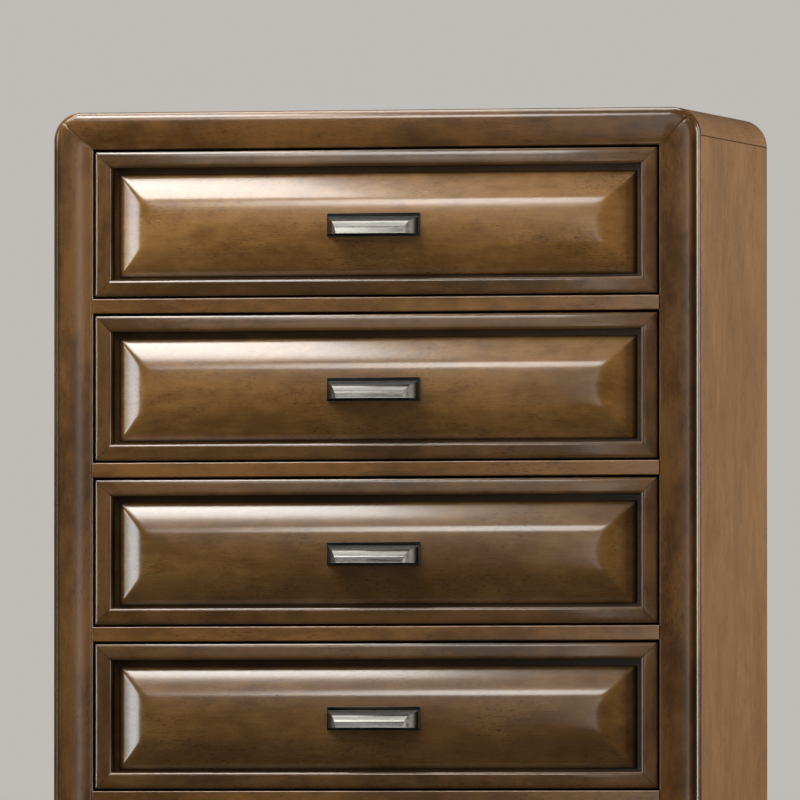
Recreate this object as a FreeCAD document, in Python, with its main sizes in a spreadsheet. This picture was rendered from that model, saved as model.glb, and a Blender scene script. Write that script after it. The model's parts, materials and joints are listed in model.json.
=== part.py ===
"""Tall chest of five drawers with a mitred, rounded face frame.

Front is -Y, right is +X, up is +Z.  The chest stands on Z = 0 and the origin is
under the middle of its outer box, pulls included.  All sizes are millimetres.
While a piece is drawn, Y = 0 is the crest of the face frame; each finished piece
is then shifted back so that the origin lies in the middle of the depth.
"""

import FreeCAD, Part
import math
import os
import re
import Sketcher

DRAWERS = 5
EDGE_SAMPLES = 5

SIZES = {
    # Case and face frame
    "overall_width": 850,
    "case_depth": 420,
    "stile_width": 52,
    "top_rail_height": 48,
    "bottom_rail_height": 56,
    "divider_height": 19,
    "divider_depth": 40,
    "opening_height": 192,
    "frame_thickness": 20,
    "frame_crown": 2.5,
    "corner_radius": 36,
    "edge_round": 4,
    "inner_edge_round": 1.6,
    "side_thickness": 18,
    "top_thickness": 18,
    "moulding_ledge": 10,
    "back_thickness": 5,
    "back_rebate_depth": 6,
    "back_rebate_width": 8,
    "back_fit": 0.5,
    "back_rail_height": 60,
    "back_rail_thickness": 20,
    "bottom_thickness": 12,
    "corner_block_size": 60,
    "corner_block_height": 30,
    "batten_height": 42,
    # Feet
    "foot_height": 97,
    "foot_top_size": 60,
    "foot_bottom_size": 44,
    "foot_inset": 8,
    "foot_edge_round": 3,
    "glide_diameter": 24,
    "glide_thickness": 3,
    # Drawer front
    "drawer_gap": 3,
    "drawer_setback": 3,
    "moulding_width": 21,
    "moulding_thickness": 25,
    "moulding_round": 2.5,
    "panel_recess": 15,
    "tongue_thickness": 6,
    "tongue_reach": 6,
    "panel_fit": 0.5,
    "panel_margin": 8,
    "panel_step": 1.5,
    "bevel_width": 30,
    "bevel_angle": 25,
    "ridge_radius": 45,
    "field_angle": 6,
    "end_bevel_angle": 28,
    "end_ridge_radius": 30,
    # Drawer box
    "box_wall": 12,
    "box_height": 150,
    "box_length": 350,
    "box_drop": 80,
    "box_bottom_thickness": 5,
    "box_bottom_lift": 12,
    "box_groove_depth": 6,
    # Ball-bearing slides
    "slide_space": 13,
    "slide_steel": 1.2,
    "slide_drop": 10,
    "slide_clearance": 2,
    "slide_overhang": 2,
    "channel_height": 35,
    "channel_lip": 2,
    "channel_stand_off": 2.5,
    "rail_height": 22,
    "rail_stand_off": 4,
    "cage_length": 80,
    "cage_setback": 132,
    "cage_web": 1.6,
    "slide_play": 0.6,
    "ball_play": 0.3,
    # Pull
    "pull_length": 122,
    "pull_height": 30,
    "pull_plate": 2.5,
    "pull_plate_round": 1,
    "pull_reach": 30,
    "pull_drop": 3.5,
    "hood_length": 116,
    "lip_length": 86,
    "hood_wall": 2.2,
    "hood_top": 10,
    "brow_reach": 15,
    "brow_drop": 6,
    "shoulder_reach": 24,
    "shoulder_drop": 8,
    "lip_drop": 8,
}

doc = FreeCAD.newDocument("chest_of_drawers")
sheet = doc.addObject("Spreadsheet::Sheet", "Sizes")
for row, (alias, size) in enumerate(SIZES.items(), start=1):
    sheet.set(f"A{row}", alias)
    sheet.set(f"B{row}", str(size))
    sheet.setAlias(f"B{row}", alias)
doc.recompute()

SIZE_WORD = re.compile(r"\b(" + "|".join(SIZES) + r")\b")


def bound(text):
    """Turn words such as stile_width into references to the spreadsheet."""
    return SIZE_WORD.sub(r"Sizes.\1", text)


def number(text):
    """Value of an expression, in millimetres."""
    return float(sheet.evalExpression(bound(text)))


# Lines of the design, each worked out from the sizes above
HALF_WIDTH = "(overall_width / 2)"
OPENING_HALF = "(overall_width / 2 - stile_width)"
SIDE_INNER = "(overall_width / 2 - side_thickness)"
CASE_BOTTOM = "(foot_height + glide_thickness)"
LOWEST_OPENING = f"({CASE_BOTTOM} + bottom_rail_height)"
PITCH = "(opening_height + divider_height)"
TOP_OPENING_EDGE = f"({LOWEST_OPENING} + {DRAWERS} * {PITCH} - divider_height)"
OVERALL_HEIGHT = f"({TOP_OPENING_EDGE} + top_rail_height)"
SIDE_TOP = f"({OVERALL_HEIGHT} - corner_radius)"
BACK_PLANE = "(case_depth - back_rebate_depth)"
BACK_RAIL_FRONT = f"({BACK_PLANE} - back_rail_thickness)"

FRONT_HALF_WIDTH = f"({OPENING_HALF} - drawer_gap)"
FRONT_HALF_HEIGHT = "(opening_height / 2 - drawer_gap)"
FRONT_BACK = "(drawer_setback + moulding_thickness)"
PANEL_FLOOR = "(drawer_setback + panel_recess)"
SIGHT_HALF_WIDTH = f"({FRONT_HALF_WIDTH} - moulding_width)"
SIGHT_HALF_HEIGHT = f"({FRONT_HALF_HEIGHT} - moulding_width)"
RAISED_HALF_WIDTH = f"({SIGHT_HALF_WIDTH} - panel_margin)"
RAISED_HALF_HEIGHT = f"({SIGHT_HALF_HEIGHT} - panel_margin)"
BEVEL_RISE = "(bevel_width * tan(bevel_angle))"
RIDGE_RUN = "(ridge_radius * (sin(bevel_angle) - sin(field_angle)))"
RIDGE_RISE = "(ridge_radius * (cos(field_angle) - cos(bevel_angle)))"
FIELD_HALF = f"({RAISED_HALF_HEIGHT} - bevel_width - {RIDGE_RUN})"
FIELD_RADIUS = f"({FIELD_HALF} / sin(field_angle))"
FIELD_RISE = f"({FIELD_RADIUS} * (1 - cos(field_angle)))"
STEP_FACE = f"({PANEL_FLOOR} - panel_step)"
BEVEL_INNER_FACE = f"({STEP_FACE} - {BEVEL_RISE})"
FIELD_EDGE_FACE = f"({BEVEL_INNER_FACE} - {RIDGE_RISE})"
CREST = f"({FIELD_EDGE_FACE} - {FIELD_RISE})"
PULL_FRONT = f"({CREST} - pull_reach)"
DEPTH_SHIFT = f"(-(case_depth + {PULL_FRONT}) / 2)"

BOX_HALF_WIDTH = f"({OPENING_HALF} - slide_space)"
BOX_BACK = f"({FRONT_BACK} + box_length)"


def opening_centre(index):
    """Height of the middle of an opening; 1 is the top drawer."""
    return f"({LOWEST_OPENING} + opening_height / 2 + {DRAWERS - index} * {PITCH})"


# Helpers that draw in the document
def board(name, x, y, z):
    """A plain board between a low and a high plane on each axis."""
    box = doc.addObject("Part::Box", name)
    for side, axis, (low, high) in (("Length", "x", x), ("Width", "y", y), ("Height", "z", z)):
        box.setExpression(side, bound(f"({high}) - ({low})"))
        box.setExpression(f".Placement.Base.{axis}", bound(low))
    return box


def mirrored_range(sign, near, far):
    """Range from near to far on the right, or its mirror image on the left."""
    if sign > 0:
        return near, far
    return f"-({far})", f"-({near})"


def cut(name, base, *tools):
    """The base with each tool taken away in turn."""
    for step, tool in enumerate(tools, start=1):
        result = doc.addObject("Part::Cut", f"{name}_{step}")
        result.Base = base
        result.Tool = tool
        base = result
    return base


def arc_edge(start, end, radius):
    """Arc between two points, bulging right of the way there if radius is above 0."""
    chord = end - start
    middle = (start + end) * 0.5
    left = FreeCAD.Vector(-chord.y, chord.x, 0).normalize()
    reach = math.sqrt(max(radius * radius - chord.Length ** 2 / 4, 0))
    centre = middle + left * math.copysign(reach, radius)
    circle = Part.Circle(centre, FreeCAD.Vector(0, 0, 1), abs(radius))
    first, last = (start, end) if radius > 0 else (end, start)
    return Part.ArcOfCircle(circle, circle.parameter(first), circle.parameter(last))


def add_loop(sketch, corners):
    """Close a loop through the corners; a third entry makes the next edge an arc."""
    offset = sketch.GeometryCount
    count = len(corners)
    points = [FreeCAD.Vector(number(c[0]), number(c[1]), 0) for c in corners]
    ends = []
    for index, corner in enumerate(corners):
        start, end = points[index], points[(index + 1) % count]
        radius = number(corner[2]) if len(corner) == 3 else None
        edge = Part.LineSegment(start, end) if radius is None else arc_edge(start, end, radius)
        sketch.addGeometry(edge, False)
        ends.append((2, 1) if radius is not None and radius < 0 else (1, 2))
    for index, corner in enumerate(corners):
        after = (index + 1) % count
        here = offset + index
        sketch.addConstraint(Sketcher.Constraint(
            "Coincident", here, ends[index][1], offset + after, ends[after][0]))
        for kind, place, text in (("DistanceX", points[index].x, corner[0]),
                                  ("DistanceY", points[index].y, corner[1])):
            mark = sketch.addConstraint(Sketcher.Constraint(
                kind, -1, 1, here, ends[index][0], place))
            sketch.setExpression(f"Constraints[{mark}]", bound(text))
        if len(corner) == 3:
            mark = sketch.addConstraint(Sketcher.Constraint(
                "Radius", here, abs(number(corner[2]))))
            sketch.setExpression(f"Constraints[{mark}]", bound(f"abs({corner[2]})"))


def sketch_on(body, plane, loops, height="0"):
    """Sketch of closed loops on one of the body's own planes, lifted along its normal."""
    sketch = body.newObject("Sketcher::SketchObject", f"{body.Name}_outline")
    support = [f for f in body.Origin.OriginFeatures if f.Role == plane][0]
    sketch.AttachmentSupport = [(support, "")]
    sketch.MapMode = "FlatFace"
    sketch.setExpression(".AttachmentOffset.Base.z", bound(height))
    for loop in loops:
        add_loop(sketch, loop)
    return sketch


def pad(body, plane, loops, low, high):
    """Pad the loops from a low to a high plane along the sketch's normal."""
    feature = body.newObject("PartDesign::Pad", f"{body.Name}_pad")
    feature.Profile = sketch_on(body, plane, loops, low)
    feature.setExpression("Length", bound(f"({high}) - ({low})"))
    doc.recompute()
    return feature


def pocket(body, plane, loops, height, depth):
    """Cut the loops into the body, against the sketch's normal, and test that it cut."""
    before = body.Shape.Volume
    feature = body.newObject("PartDesign::Pocket", f"{body.Name}_pocket")
    feature.Profile = sketch_on(body, plane, loops, height)
    feature.setExpression("Length", bound(depth))
    doc.recompute()
    if body.Shape.Volume >= before:
        raise RuntimeError(f"{body.Name}: a pocket removed nothing")
    return feature


def fillet(body, base, wanted, radius):
    """Round every edge of the base whose sampled points all pass the test."""
    names = []
    for index, edge in enumerate(base.Shape.Edges, start=1):
        if all(wanted(point) for point in edge.discretize(EDGE_SAMPLES)):
            names.append(f"Edge{index}")
    if not names:
        raise RuntimeError(f"{body.Name}: no edge to round")
    feature = body.newObject("PartDesign::Fillet", f"{body.Name}_round")
    feature.Base = (base, names)
    feature.setExpression("Radius", bound(radius))
    doc.recompute()
    return feature


def new_body(name):
    return doc.addObject("PartDesign::Body", name)


def extrusion(name, plane, loops, low, high):
    """A body that is one padded outline."""
    body = new_body(name)
    pad(body, plane, loops, low, high)
    return body


nodes = []


def node(label, pieces, lift="0"):
    """Gather the solids of one finished piece and put them in their place in the chest."""
    group = doc.addObject("Part::Compound", label)
    group.Label = label
    group.Links = pieces
    group.setExpression(".Placement.Base.y", bound(DEPTH_SHIFT))
    group.setExpression(".Placement.Base.z", bound(lift))
    nodes.append(group)


def near(first, second):
    return abs(first - second) < 0.01


# Face frame: crowned mouldings, mitred at the rounded upper corners
def on_frame_edge(point):
    """True on the front arris of the frame's outer outline."""
    half, height = number(HALF_WIDTH), number(OVERALL_HEIGHT)
    radius = number("corner_radius")
    across = abs(point.x) - (half - radius)
    up = point.z - (height - radius)
    if across > 0 and up > 0:
        outside = near(math.hypot(across, up), radius)
    else:
        outside = near(abs(point.x), half) or near(point.z, height)
    return outside and point.y < number("frame_thickness") / 2


def on_inner_edge(point):
    """True on the front arris beside the drawers."""
    beside = near(abs(point.x), number(OPENING_HALF)) or near(point.z, number(TOP_OPENING_EDGE))
    return beside and point.y < number("frame_thickness") / 2


def crown_radius(width):
    """Radius of the shallow crown across a moulding of this width."""
    return f"(({width}) ^ 2 / 8 / frame_crown + frame_crown / 2)"


def corner_waste(sign):
    """What the rounded upper corner leaves of the square one, as seen from the front."""
    outer = f"({sign} * {HALF_WIDTH})"
    inner = f"({sign} * ({HALF_WIDTH} - corner_radius))"
    return [
        (inner, OVERALL_HEIGHT, f"{-sign} * corner_radius"),
        (outer, SIDE_TOP),
        (outer, OVERALL_HEIGHT),
    ]


def make_stile(name, sign):
    body = new_body(f"{name}_moulding")
    outer, inner = f"({sign} * {HALF_WIDTH})", f"({sign} * {OPENING_HALF})"
    profile = [
        (inner, "frame_crown", f"{sign} * {crown_radius('stile_width')}"),
        (outer, "frame_crown"),
        (outer, "frame_thickness"),
        (inner, "frame_thickness"),
    ]
    pad(body, "XY_Plane", [profile], CASE_BOTTOM, OVERALL_HEIGHT)
    above_mitre = [
        (inner, TOP_OPENING_EDGE),
        (outer, OVERALL_HEIGHT),
        (inner, OVERALL_HEIGHT),
    ]
    pocket(body, "XZ_Plane", [above_mitre], "0", "frame_thickness")
    shaped = pocket(body, "XZ_Plane", [corner_waste(sign)], "0", "frame_thickness")
    rounded = fillet(body, shaped, on_frame_edge, "edge_round")
    fillet(body, rounded, on_inner_edge, "inner_edge_round")
    node(name, [body])


def make_top_rail():
    body = new_body("top_rail_moulding")
    profile = [
        ("frame_crown", OVERALL_HEIGHT, crown_radius("top_rail_height")),
        ("frame_crown", TOP_OPENING_EDGE),
        ("frame_thickness", TOP_OPENING_EDGE),
        ("frame_thickness", OVERALL_HEIGHT),
    ]
    pad(body, "YZ_Plane", [profile], f"-{HALF_WIDTH}", HALF_WIDTH)
    mitres = []
    for sign in (-1, 1):
        outer, inner = f"({sign} * {HALF_WIDTH})", f"({sign} * {OPENING_HALF})"
        mitres.append([
            (inner, TOP_OPENING_EDGE),
            (outer, OVERALL_HEIGHT),
            (outer, TOP_OPENING_EDGE),
        ])
    pocket(body, "XZ_Plane", mitres, "0", "frame_thickness")
    corners = [corner_waste(-1), corner_waste(1)]
    shaped = pocket(body, "XZ_Plane", corners, "0", "frame_thickness")
    rounded = fillet(body, shaped, on_frame_edge, "edge_round")
    fillet(body, rounded, on_inner_edge, "inner_edge_round")
    node("top_rail", [body])


def make_straight_rail(name, low, high, depth):
    """Square rail between the stiles with its two front arrises eased."""
    body = new_body(f"{name}_stick")
    front, back = "drawer_setback", f"(drawer_setback + {depth})"
    profile = [(front, high), (front, low), (back, low), (back, high)]
    base = pad(body, "YZ_Plane", [profile], f"-{OPENING_HALF}", OPENING_HALF)

    def on_front_arris(point):
        level = near(point.z, number(low)) or near(point.z, number(high))
        return level and near(point.y, number(front))

    fillet(body, base, on_front_arris, "inner_edge_round")
    return body


def make_face_frame():
    make_stile("left_stile", -1)
    make_stile("right_stile", 1)
    make_top_rail()
    apron = make_straight_rail("bottom", CASE_BOTTOM, LOWEST_OPENING, "frame_thickness")
    node("bottom_rail", [apron])
    divider = make_straight_rail("divider", "0", "divider_height", "divider_depth")
    for index in range(1, DRAWERS):
        below = f"({opening_centre(index)} - opening_height / 2 - divider_height)"
        node(f"divider_rail_{index}", [divider], below)


# Case shell behind the face frame
def make_top():
    """Top board between quarter-round mouldings, its ends lying on their ledges."""
    board_end = f"({HALF_WIDTH} - corner_radius)"
    ledge_end = f"({board_end} - moulding_ledge)"
    under_board = f"({OVERALL_HEIGHT} - top_thickness)"
    for label, sign in (("left_corner_moulding", -1), ("right_corner_moulding", 1)):
        inner, ledge = f"({sign} * {board_end})", f"({sign} * {ledge_end})"
        quarter_and_ledge = [
            (inner, OVERALL_HEIGHT, f"{-sign} * corner_radius"),
            (f"({sign} * {HALF_WIDTH})", SIDE_TOP),
            (ledge, SIDE_TOP),
            (ledge, under_board),
            (inner, under_board),
        ]
        stick = extrusion(f"{label}_stick", "XZ_Plane", [quarter_and_ledge],
                          "-case_depth", "-frame_thickness")
        node(label, [stick])
    top = board("top_sheet", (f"-{board_end}", board_end),
                ("frame_thickness", "case_depth"), (under_board, OVERALL_HEIGHT))
    node("top_board", [top])


def make_sides():
    for label, sign in (("left_side_panel", -1), ("right_side_panel", 1)):
        panel = board(f"{label}_sheet", mirrored_range(sign, SIDE_INNER, HALF_WIDTH),
                      ("frame_thickness", "case_depth"), (CASE_BOTTOM, SIDE_TOP))
        rebate_edge = f"({SIDE_INNER} + back_rebate_width)"
        rebate = board(f"{label}_rebate", mirrored_range(sign, SIDE_INNER, rebate_edge),
                       (BACK_PLANE, "case_depth"), (CASE_BOTTOM, SIDE_TOP))
        node(label, [cut(label + "_cut", panel, rebate)])


def make_back_and_bottom():
    back_half = f"({SIDE_INNER} + back_rebate_width - back_fit)"
    back = board("back_sheet", (f"-{back_half}", back_half),
                 (BACK_PLANE, f"{BACK_PLANE} + back_thickness"), (CASE_BOTTOM, SIDE_TOP))
    node("back_panel", [back])
    between = (f"-{SIDE_INNER}", SIDE_INNER)
    rail_depth = (BACK_RAIL_FRONT, BACK_PLANE)
    upper_edge = f"({OVERALL_HEIGHT} - top_thickness)"
    upper_half = f"({HALF_WIDTH} - corner_radius - moulding_ledge)"
    upper = board("back_top_stick", (f"-{upper_half}", upper_half), rail_depth,
                  (f"{upper_edge} - back_rail_height", upper_edge))
    node("back_top_rail", [upper])
    lower = board("back_bottom_stick", between, rail_depth,
                  (CASE_BOTTOM, f"{CASE_BOTTOM} + back_rail_height"))
    node("back_bottom_rail", [lower])
    floor_under = f"({CASE_BOTTOM} + corner_block_height)"
    front = "(drawer_setback + frame_thickness)"
    floor = board("bottom_sheet", between, (front, BACK_RAIL_FRONT),
                  (floor_under, f"{floor_under} + bottom_thickness"))
    node("bottom_panel", [floor])
    blocks = []
    for sign in (-1, 1):
        across = mirrored_range(sign, f"{SIDE_INNER} - corner_block_size", SIDE_INNER)
        for depth in ((front, f"{front} + corner_block_size"),
                      (f"{BACK_RAIL_FRONT} - corner_block_size", BACK_RAIL_FRONT)):
            blocks.append(board("corner_block", across, depth, (CASE_BOTTOM, floor_under)))
    node("corner_blocks", blocks)


def make_battens():
    """Packing battens that bring the slides out to the edge of the openings."""
    battens = []
    for index in range(1, DRAWERS + 1):
        middle = f"({opening_centre(index)} - slide_drop)"
        for sign in (-1, 1):
            battens.append(board(
                "batten", mirrored_range(sign, OPENING_HALF, SIDE_INNER),
                ("frame_thickness", BACK_RAIL_FRONT),
                (f"{middle} - batten_height / 2", f"{middle} + batten_height / 2")))
    node("runner_battens", battens)


# Feet: square blocks whose inner faces taper, on nailed glides
def foot_plan(sign, front, size):
    """Rounded square; its outer sides stay put while the inner ones follow the size."""
    back = 1 if front else -1
    outer = f"({sign} * ({HALF_WIDTH} - foot_inset))"
    inner = f"({outer} - {sign} * {size})"
    edge = "foot_inset" if front else "(case_depth - foot_inset)"
    reach = f"({edge} + {back} * {size})"
    across, along = f"{sign} * foot_edge_round", f"{back} * foot_edge_round"
    turn = f"{sign * back} * foot_edge_round"
    return [
        (f"{inner} + {across}", edge),
        (f"{outer} - {across}", edge, turn),
        (outer, f"{edge} + {along}"),
        (outer, f"{reach} - {along}", turn),
        (f"{outer} - {across}", reach),
        (f"{inner} + {across}", reach, turn),
        (inner, f"{reach} - {along}"),
        (inner, f"{edge} + {along}", turn),
    ]


def make_feet():
    glides = []
    places = (("front_left_foot", -1, True), ("front_right_foot", 1, True),
              ("rear_left_foot", -1, False), ("rear_right_foot", 1, False))
    for label, sign, front in places:
        body = new_body(f"{label}_block")
        loft = body.newObject("PartDesign::AdditiveLoft", f"{label}_loft")
        loft.Profile = sketch_on(
            body, "XY_Plane", [foot_plan(sign, front, "foot_bottom_size")], "glide_thickness")
        loft.Sections = [sketch_on(
            body, "XY_Plane", [foot_plan(sign, front, "foot_top_size")], CASE_BOTTOM)]
        loft.Ruled = True
        node(label, [body])
        glide = doc.addObject("Part::Cylinder", f"{label}_glide")
        glide.setExpression("Radius", bound("glide_diameter / 2"))
        glide.setExpression("Height", bound("glide_thickness"))
        centre = f"{sign} * ({HALF_WIDTH} - foot_inset - foot_bottom_size / 2)"
        depth = "foot_inset + foot_bottom_size / 2"
        glide.setExpression(".Placement.Base.x", bound(centre))
        glide.setExpression(".Placement.Base.y", bound(depth if front else f"case_depth - ({depth})"))
        glides.append(glide)
    node("foot_glides", glides)


# Drawers: drawn once about the middle of an opening, then placed in each one
def make_front_frame():
    """Four mitred mouldings with eased arrises, grooved for the panel's tongue."""
    front, back = "drawer_setback", FRONT_BACK
    groove = (PANEL_FLOOR, f"({PANEL_FLOOR} + tongue_thickness)")
    pieces = []
    sides = (
        ("upright", "XY_Plane", FRONT_HALF_WIDTH, SIGHT_HALF_WIDTH, FRONT_HALF_HEIGHT),
        ("level", "YZ_Plane", FRONT_HALF_HEIGHT, SIGHT_HALF_HEIGHT, FRONT_HALF_WIDTH),
    )
    for kind, plane, outer, sight, length in sides:
        for sign in (-1, 1):
            body = new_body(f"front_{kind}")
            bed = f"({sight} + tongue_reach)"
            section = [(sight, front), (outer, front), (outer, back), (sight, back),
                       (sight, groove[1]), (bed, groove[1]), (bed, groove[0]), (sight, groove[0])]
            if kind == "upright":
                loop = [(f"({sign} * {across})", depth) for across, depth in section]
            else:
                loop = [(depth, f"({sign} * {across})") for across, depth in section]
            pad(body, plane, [loop], f"-{length}", length)
            shaped = pocket(body, "XZ_Plane", mitre_waste(kind, sign), "0", back)

            def on_front_arris(point):
                across = abs(point.x) if kind == "upright" else abs(point.z)
                beside = near(across, number(outer)) or near(across, number(sight))
                return near(point.y, number(front)) and beside

            fillet(body, shaped, on_front_arris, "moulding_round")
            pieces.append(body)
    return pieces


def mitre_waste(kind, sign):
    """Triangles beyond the two mitres of one moulding, as seen from the front."""
    loops = []
    for end in (-1, 1):
        across_out, across_in = f"({sign} * {FRONT_HALF_WIDTH})", f"({sign} * {SIGHT_HALF_WIDTH})"
        up_out, up_in = f"({end} * {FRONT_HALF_HEIGHT})", f"({end} * {SIGHT_HALF_HEIGHT})"
        if kind == "level":
            across_out, across_in = f"({end} * {FRONT_HALF_WIDTH})", f"({end} * {SIGHT_HALF_WIDTH})"
            up_out, up_in = f"({sign} * {FRONT_HALF_HEIGHT})", f"({sign} * {SIGHT_HALF_HEIGHT})"
            loops.append([(across_out, up_out), (across_in, up_in), (across_out, up_in)])
        else:
            loops.append([(across_out, up_out), (across_in, up_in), (across_in, up_out)])
    return loops


def make_raised_panel():
    """Pillow panel: bevels rise from a flat margin to a crowned field and meet in mitres."""
    body = new_body("raised_panel")
    tongue_back = f"({PANEL_FLOOR} + tongue_thickness)"
    tongue_up = f"({SIGHT_HALF_HEIGHT} + tongue_reach - panel_fit)"
    back_up = f"({SIGHT_HALF_HEIGHT} - panel_fit)"
    ridge_foot = f"({RAISED_HALF_HEIGHT} - bevel_width)"
    section = [
        (FRONT_BACK, f"-{back_up}"),
        (FRONT_BACK, back_up),
        (tongue_back, back_up),
        (tongue_back, tongue_up),
        (PANEL_FLOOR, tongue_up),
        (PANEL_FLOOR, RAISED_HALF_HEIGHT),
        (STEP_FACE, RAISED_HALF_HEIGHT),
        (BEVEL_INNER_FACE, ridge_foot, "ridge_radius"),
        (FIELD_EDGE_FACE, FIELD_HALF, FIELD_RADIUS),
        (FIELD_EDGE_FACE, f"-{FIELD_HALF}", "ridge_radius"),
        (BEVEL_INNER_FACE, f"-{ridge_foot}"),
        (STEP_FACE, f"-{RAISED_HALF_HEIGHT}"),
        (PANEL_FLOOR, f"-{RAISED_HALF_HEIGHT}"),
        (PANEL_FLOOR, f"-{tongue_up}"),
        (tongue_back, f"-{tongue_up}"),
        (tongue_back, f"-{back_up}"),
    ]
    tongue_across = f"({SIGHT_HALF_WIDTH} + tongue_reach - panel_fit)"
    pad(body, "YZ_Plane", [section], f"-{tongue_across}", tongue_across)
    back_across = f"({SIGHT_HALF_WIDTH} - panel_fit)"
    ridge_rise = "(end_ridge_radius * (1 - cos(end_bevel_angle)))"
    ridge_run = "(end_ridge_radius * sin(end_bevel_angle))"
    bevel_rise = f"({STEP_FACE} - {CREST} - {ridge_rise})"
    bevel_run = f"({bevel_rise} / tan(end_bevel_angle))"
    bevel_top = f"({RAISED_HALF_WIDTH} - {bevel_run})"
    field_end = f"({bevel_top} - {ridge_run})"
    clear = f"({CREST} - panel_recess)"
    loops = []
    for sign in (-1, 1):
        outline = [
            (RAISED_HALF_WIDTH, PANEL_FLOOR),
            (RAISED_HALF_WIDTH, STEP_FACE),
            (bevel_top, f"({STEP_FACE} - {bevel_rise})", f"{-sign} * end_ridge_radius"),
            (field_end, CREST),
            (field_end, clear),
            (tongue_across, clear),
            (tongue_across, PANEL_FLOOR),
        ]
        heel = [
            (back_across, tongue_back),
            (tongue_across, tongue_back),
            (tongue_across, FRONT_BACK),
            (back_across, FRONT_BACK),
        ]
        for loop in (outline, heel):
            loops.append([(f"({sign} * {c[0]})",) + c[1:] for c in loop])
    pocket(body, "XY_Plane", loops, tongue_up, f"2 * {tongue_up}")
    return body


def make_drawer_box():
    """Four walls; the bottom slides into grooves under the back wall."""
    low, high = "-box_drop", "(box_height - box_drop)"
    groove_low = "(box_bottom_lift - box_drop)"
    groove_high = f"({groove_low} + box_bottom_thickness)"
    inner = f"({BOX_HALF_WIDTH} - box_wall)"
    groove_in = f"({inner} + box_groove_depth)"
    front_inner = f"({FRONT_BACK} + box_wall)"
    walls = []
    for sign in (-1, 1):
        wall = board("box_side", mirrored_range(sign, inner, BOX_HALF_WIDTH),
                     (FRONT_BACK, BOX_BACK), (low, high))
        groove = board("box_side_groove", mirrored_range(sign, inner, groove_in),
                       (FRONT_BACK, BOX_BACK), (groove_low, groove_high))
        walls.append(cut("box_side_grooved", wall, groove))
    across = (f"-{inner}", inner)
    fore = board("box_front", across, (FRONT_BACK, front_inner), (low, high))
    fore_groove = board("box_front_groove", across,
                        (f"{front_inner} - box_groove_depth", front_inner),
                        (groove_low, groove_high))
    walls.append(cut("box_front_grooved", fore, fore_groove))
    walls.append(board("box_back", across, (f"{BOX_BACK} - box_wall", BOX_BACK),
                       (groove_high, high)))
    floor = board("box_floor", (f"-({groove_in} - panel_fit)", f"{groove_in} - panel_fit"),
                  (f"{front_inner} - box_groove_depth + panel_fit", BOX_BACK),
                  (groove_low, groove_high))
    return walls, floor


def slide_section(sign, points):
    """Section of a slide member, seen from the front, on one side of the drawer."""
    return [(f"({sign} * {across})", f"({up} - slide_drop)") for across, up in points]


def mirrored_up(points):
    """Close an upper half section with its mirror image below."""
    return points + [(across, f"(-{up})") for across, up in reversed(points)]


# Lines along and across a slide, from the opening's edge in towards the drawer box
SLIDE_START = f"({FRONT_BACK} + slide_clearance)"
CAGE_START = f"({SLIDE_START} + cage_setback)"
CHANNEL_WEB = f"({OPENING_HALF} - slide_steel)"
CHANNEL_LIP_EDGE = f"({OPENING_HALF} - slide_space + channel_stand_off)"
CHANNEL_TOP = "(channel_height / 2)"
CHANNEL_INSIDE = "(channel_height / 2 - slide_steel)"
RAIL_WEB = f"({BOX_HALF_WIDTH} + slide_steel)"
RAIL_EDGE = f"({OPENING_HALF} - rail_stand_off)"
RAIL_TOP = "(rail_height / 2)"
CAGE_OUTER = f"({CHANNEL_WEB} - slide_play)"
CAGE_LIP_EDGE = f"({CHANNEL_LIP_EDGE} + slide_steel + slide_play)"


def make_slides():
    """Steel channels on the battens, rails on the box and the ball cages between them."""
    channel = mirrored_up([
        (OPENING_HALF, CHANNEL_TOP),
        (CHANNEL_LIP_EDGE, CHANNEL_TOP),
        (CHANNEL_LIP_EDGE, f"({CHANNEL_INSIDE} - channel_lip)"),
        (f"({CHANNEL_LIP_EDGE} + slide_steel)", f"({CHANNEL_INSIDE} - channel_lip)"),
        (f"({CHANNEL_LIP_EDGE} + slide_steel)", CHANNEL_INSIDE),
        (CHANNEL_WEB, CHANNEL_INSIDE),
    ])
    rail = mirrored_up([
        (BOX_HALF_WIDTH, RAIL_TOP),
        (RAIL_EDGE, RAIL_TOP),
        (RAIL_EDGE, f"({RAIL_TOP} - slide_steel)"),
        (RAIL_WEB, f"({RAIL_TOP} - slide_steel)"),
    ])
    cage = mirrored_up([
        (CAGE_OUTER, f"({CHANNEL_INSIDE} - ball_play)"),
        (CAGE_LIP_EDGE, f"({CHANNEL_INSIDE} - ball_play)"),
        (CAGE_LIP_EDGE, f"({RAIL_TOP} + ball_play)"),
        (f"({CAGE_OUTER} - cage_web)", f"({RAIL_TOP} + ball_play)"),
    ])
    members = {}
    spans = (("channel", channel, SLIDE_START, "box_length + slide_overhang - slide_clearance"),
             ("rail", rail, FRONT_BACK, "box_length + slide_overhang"),
             ("cage", cage, CAGE_START, "cage_length"))
    for name, points, start, length in spans:
        members[name] = [
            extrusion(f"slide_{name}", "XZ_Plane", [slide_section(sign, points)],
                      f"-({start} + {length})", f"-({start})")
            for sign in (-1, 1)
        ]
    return members


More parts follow.
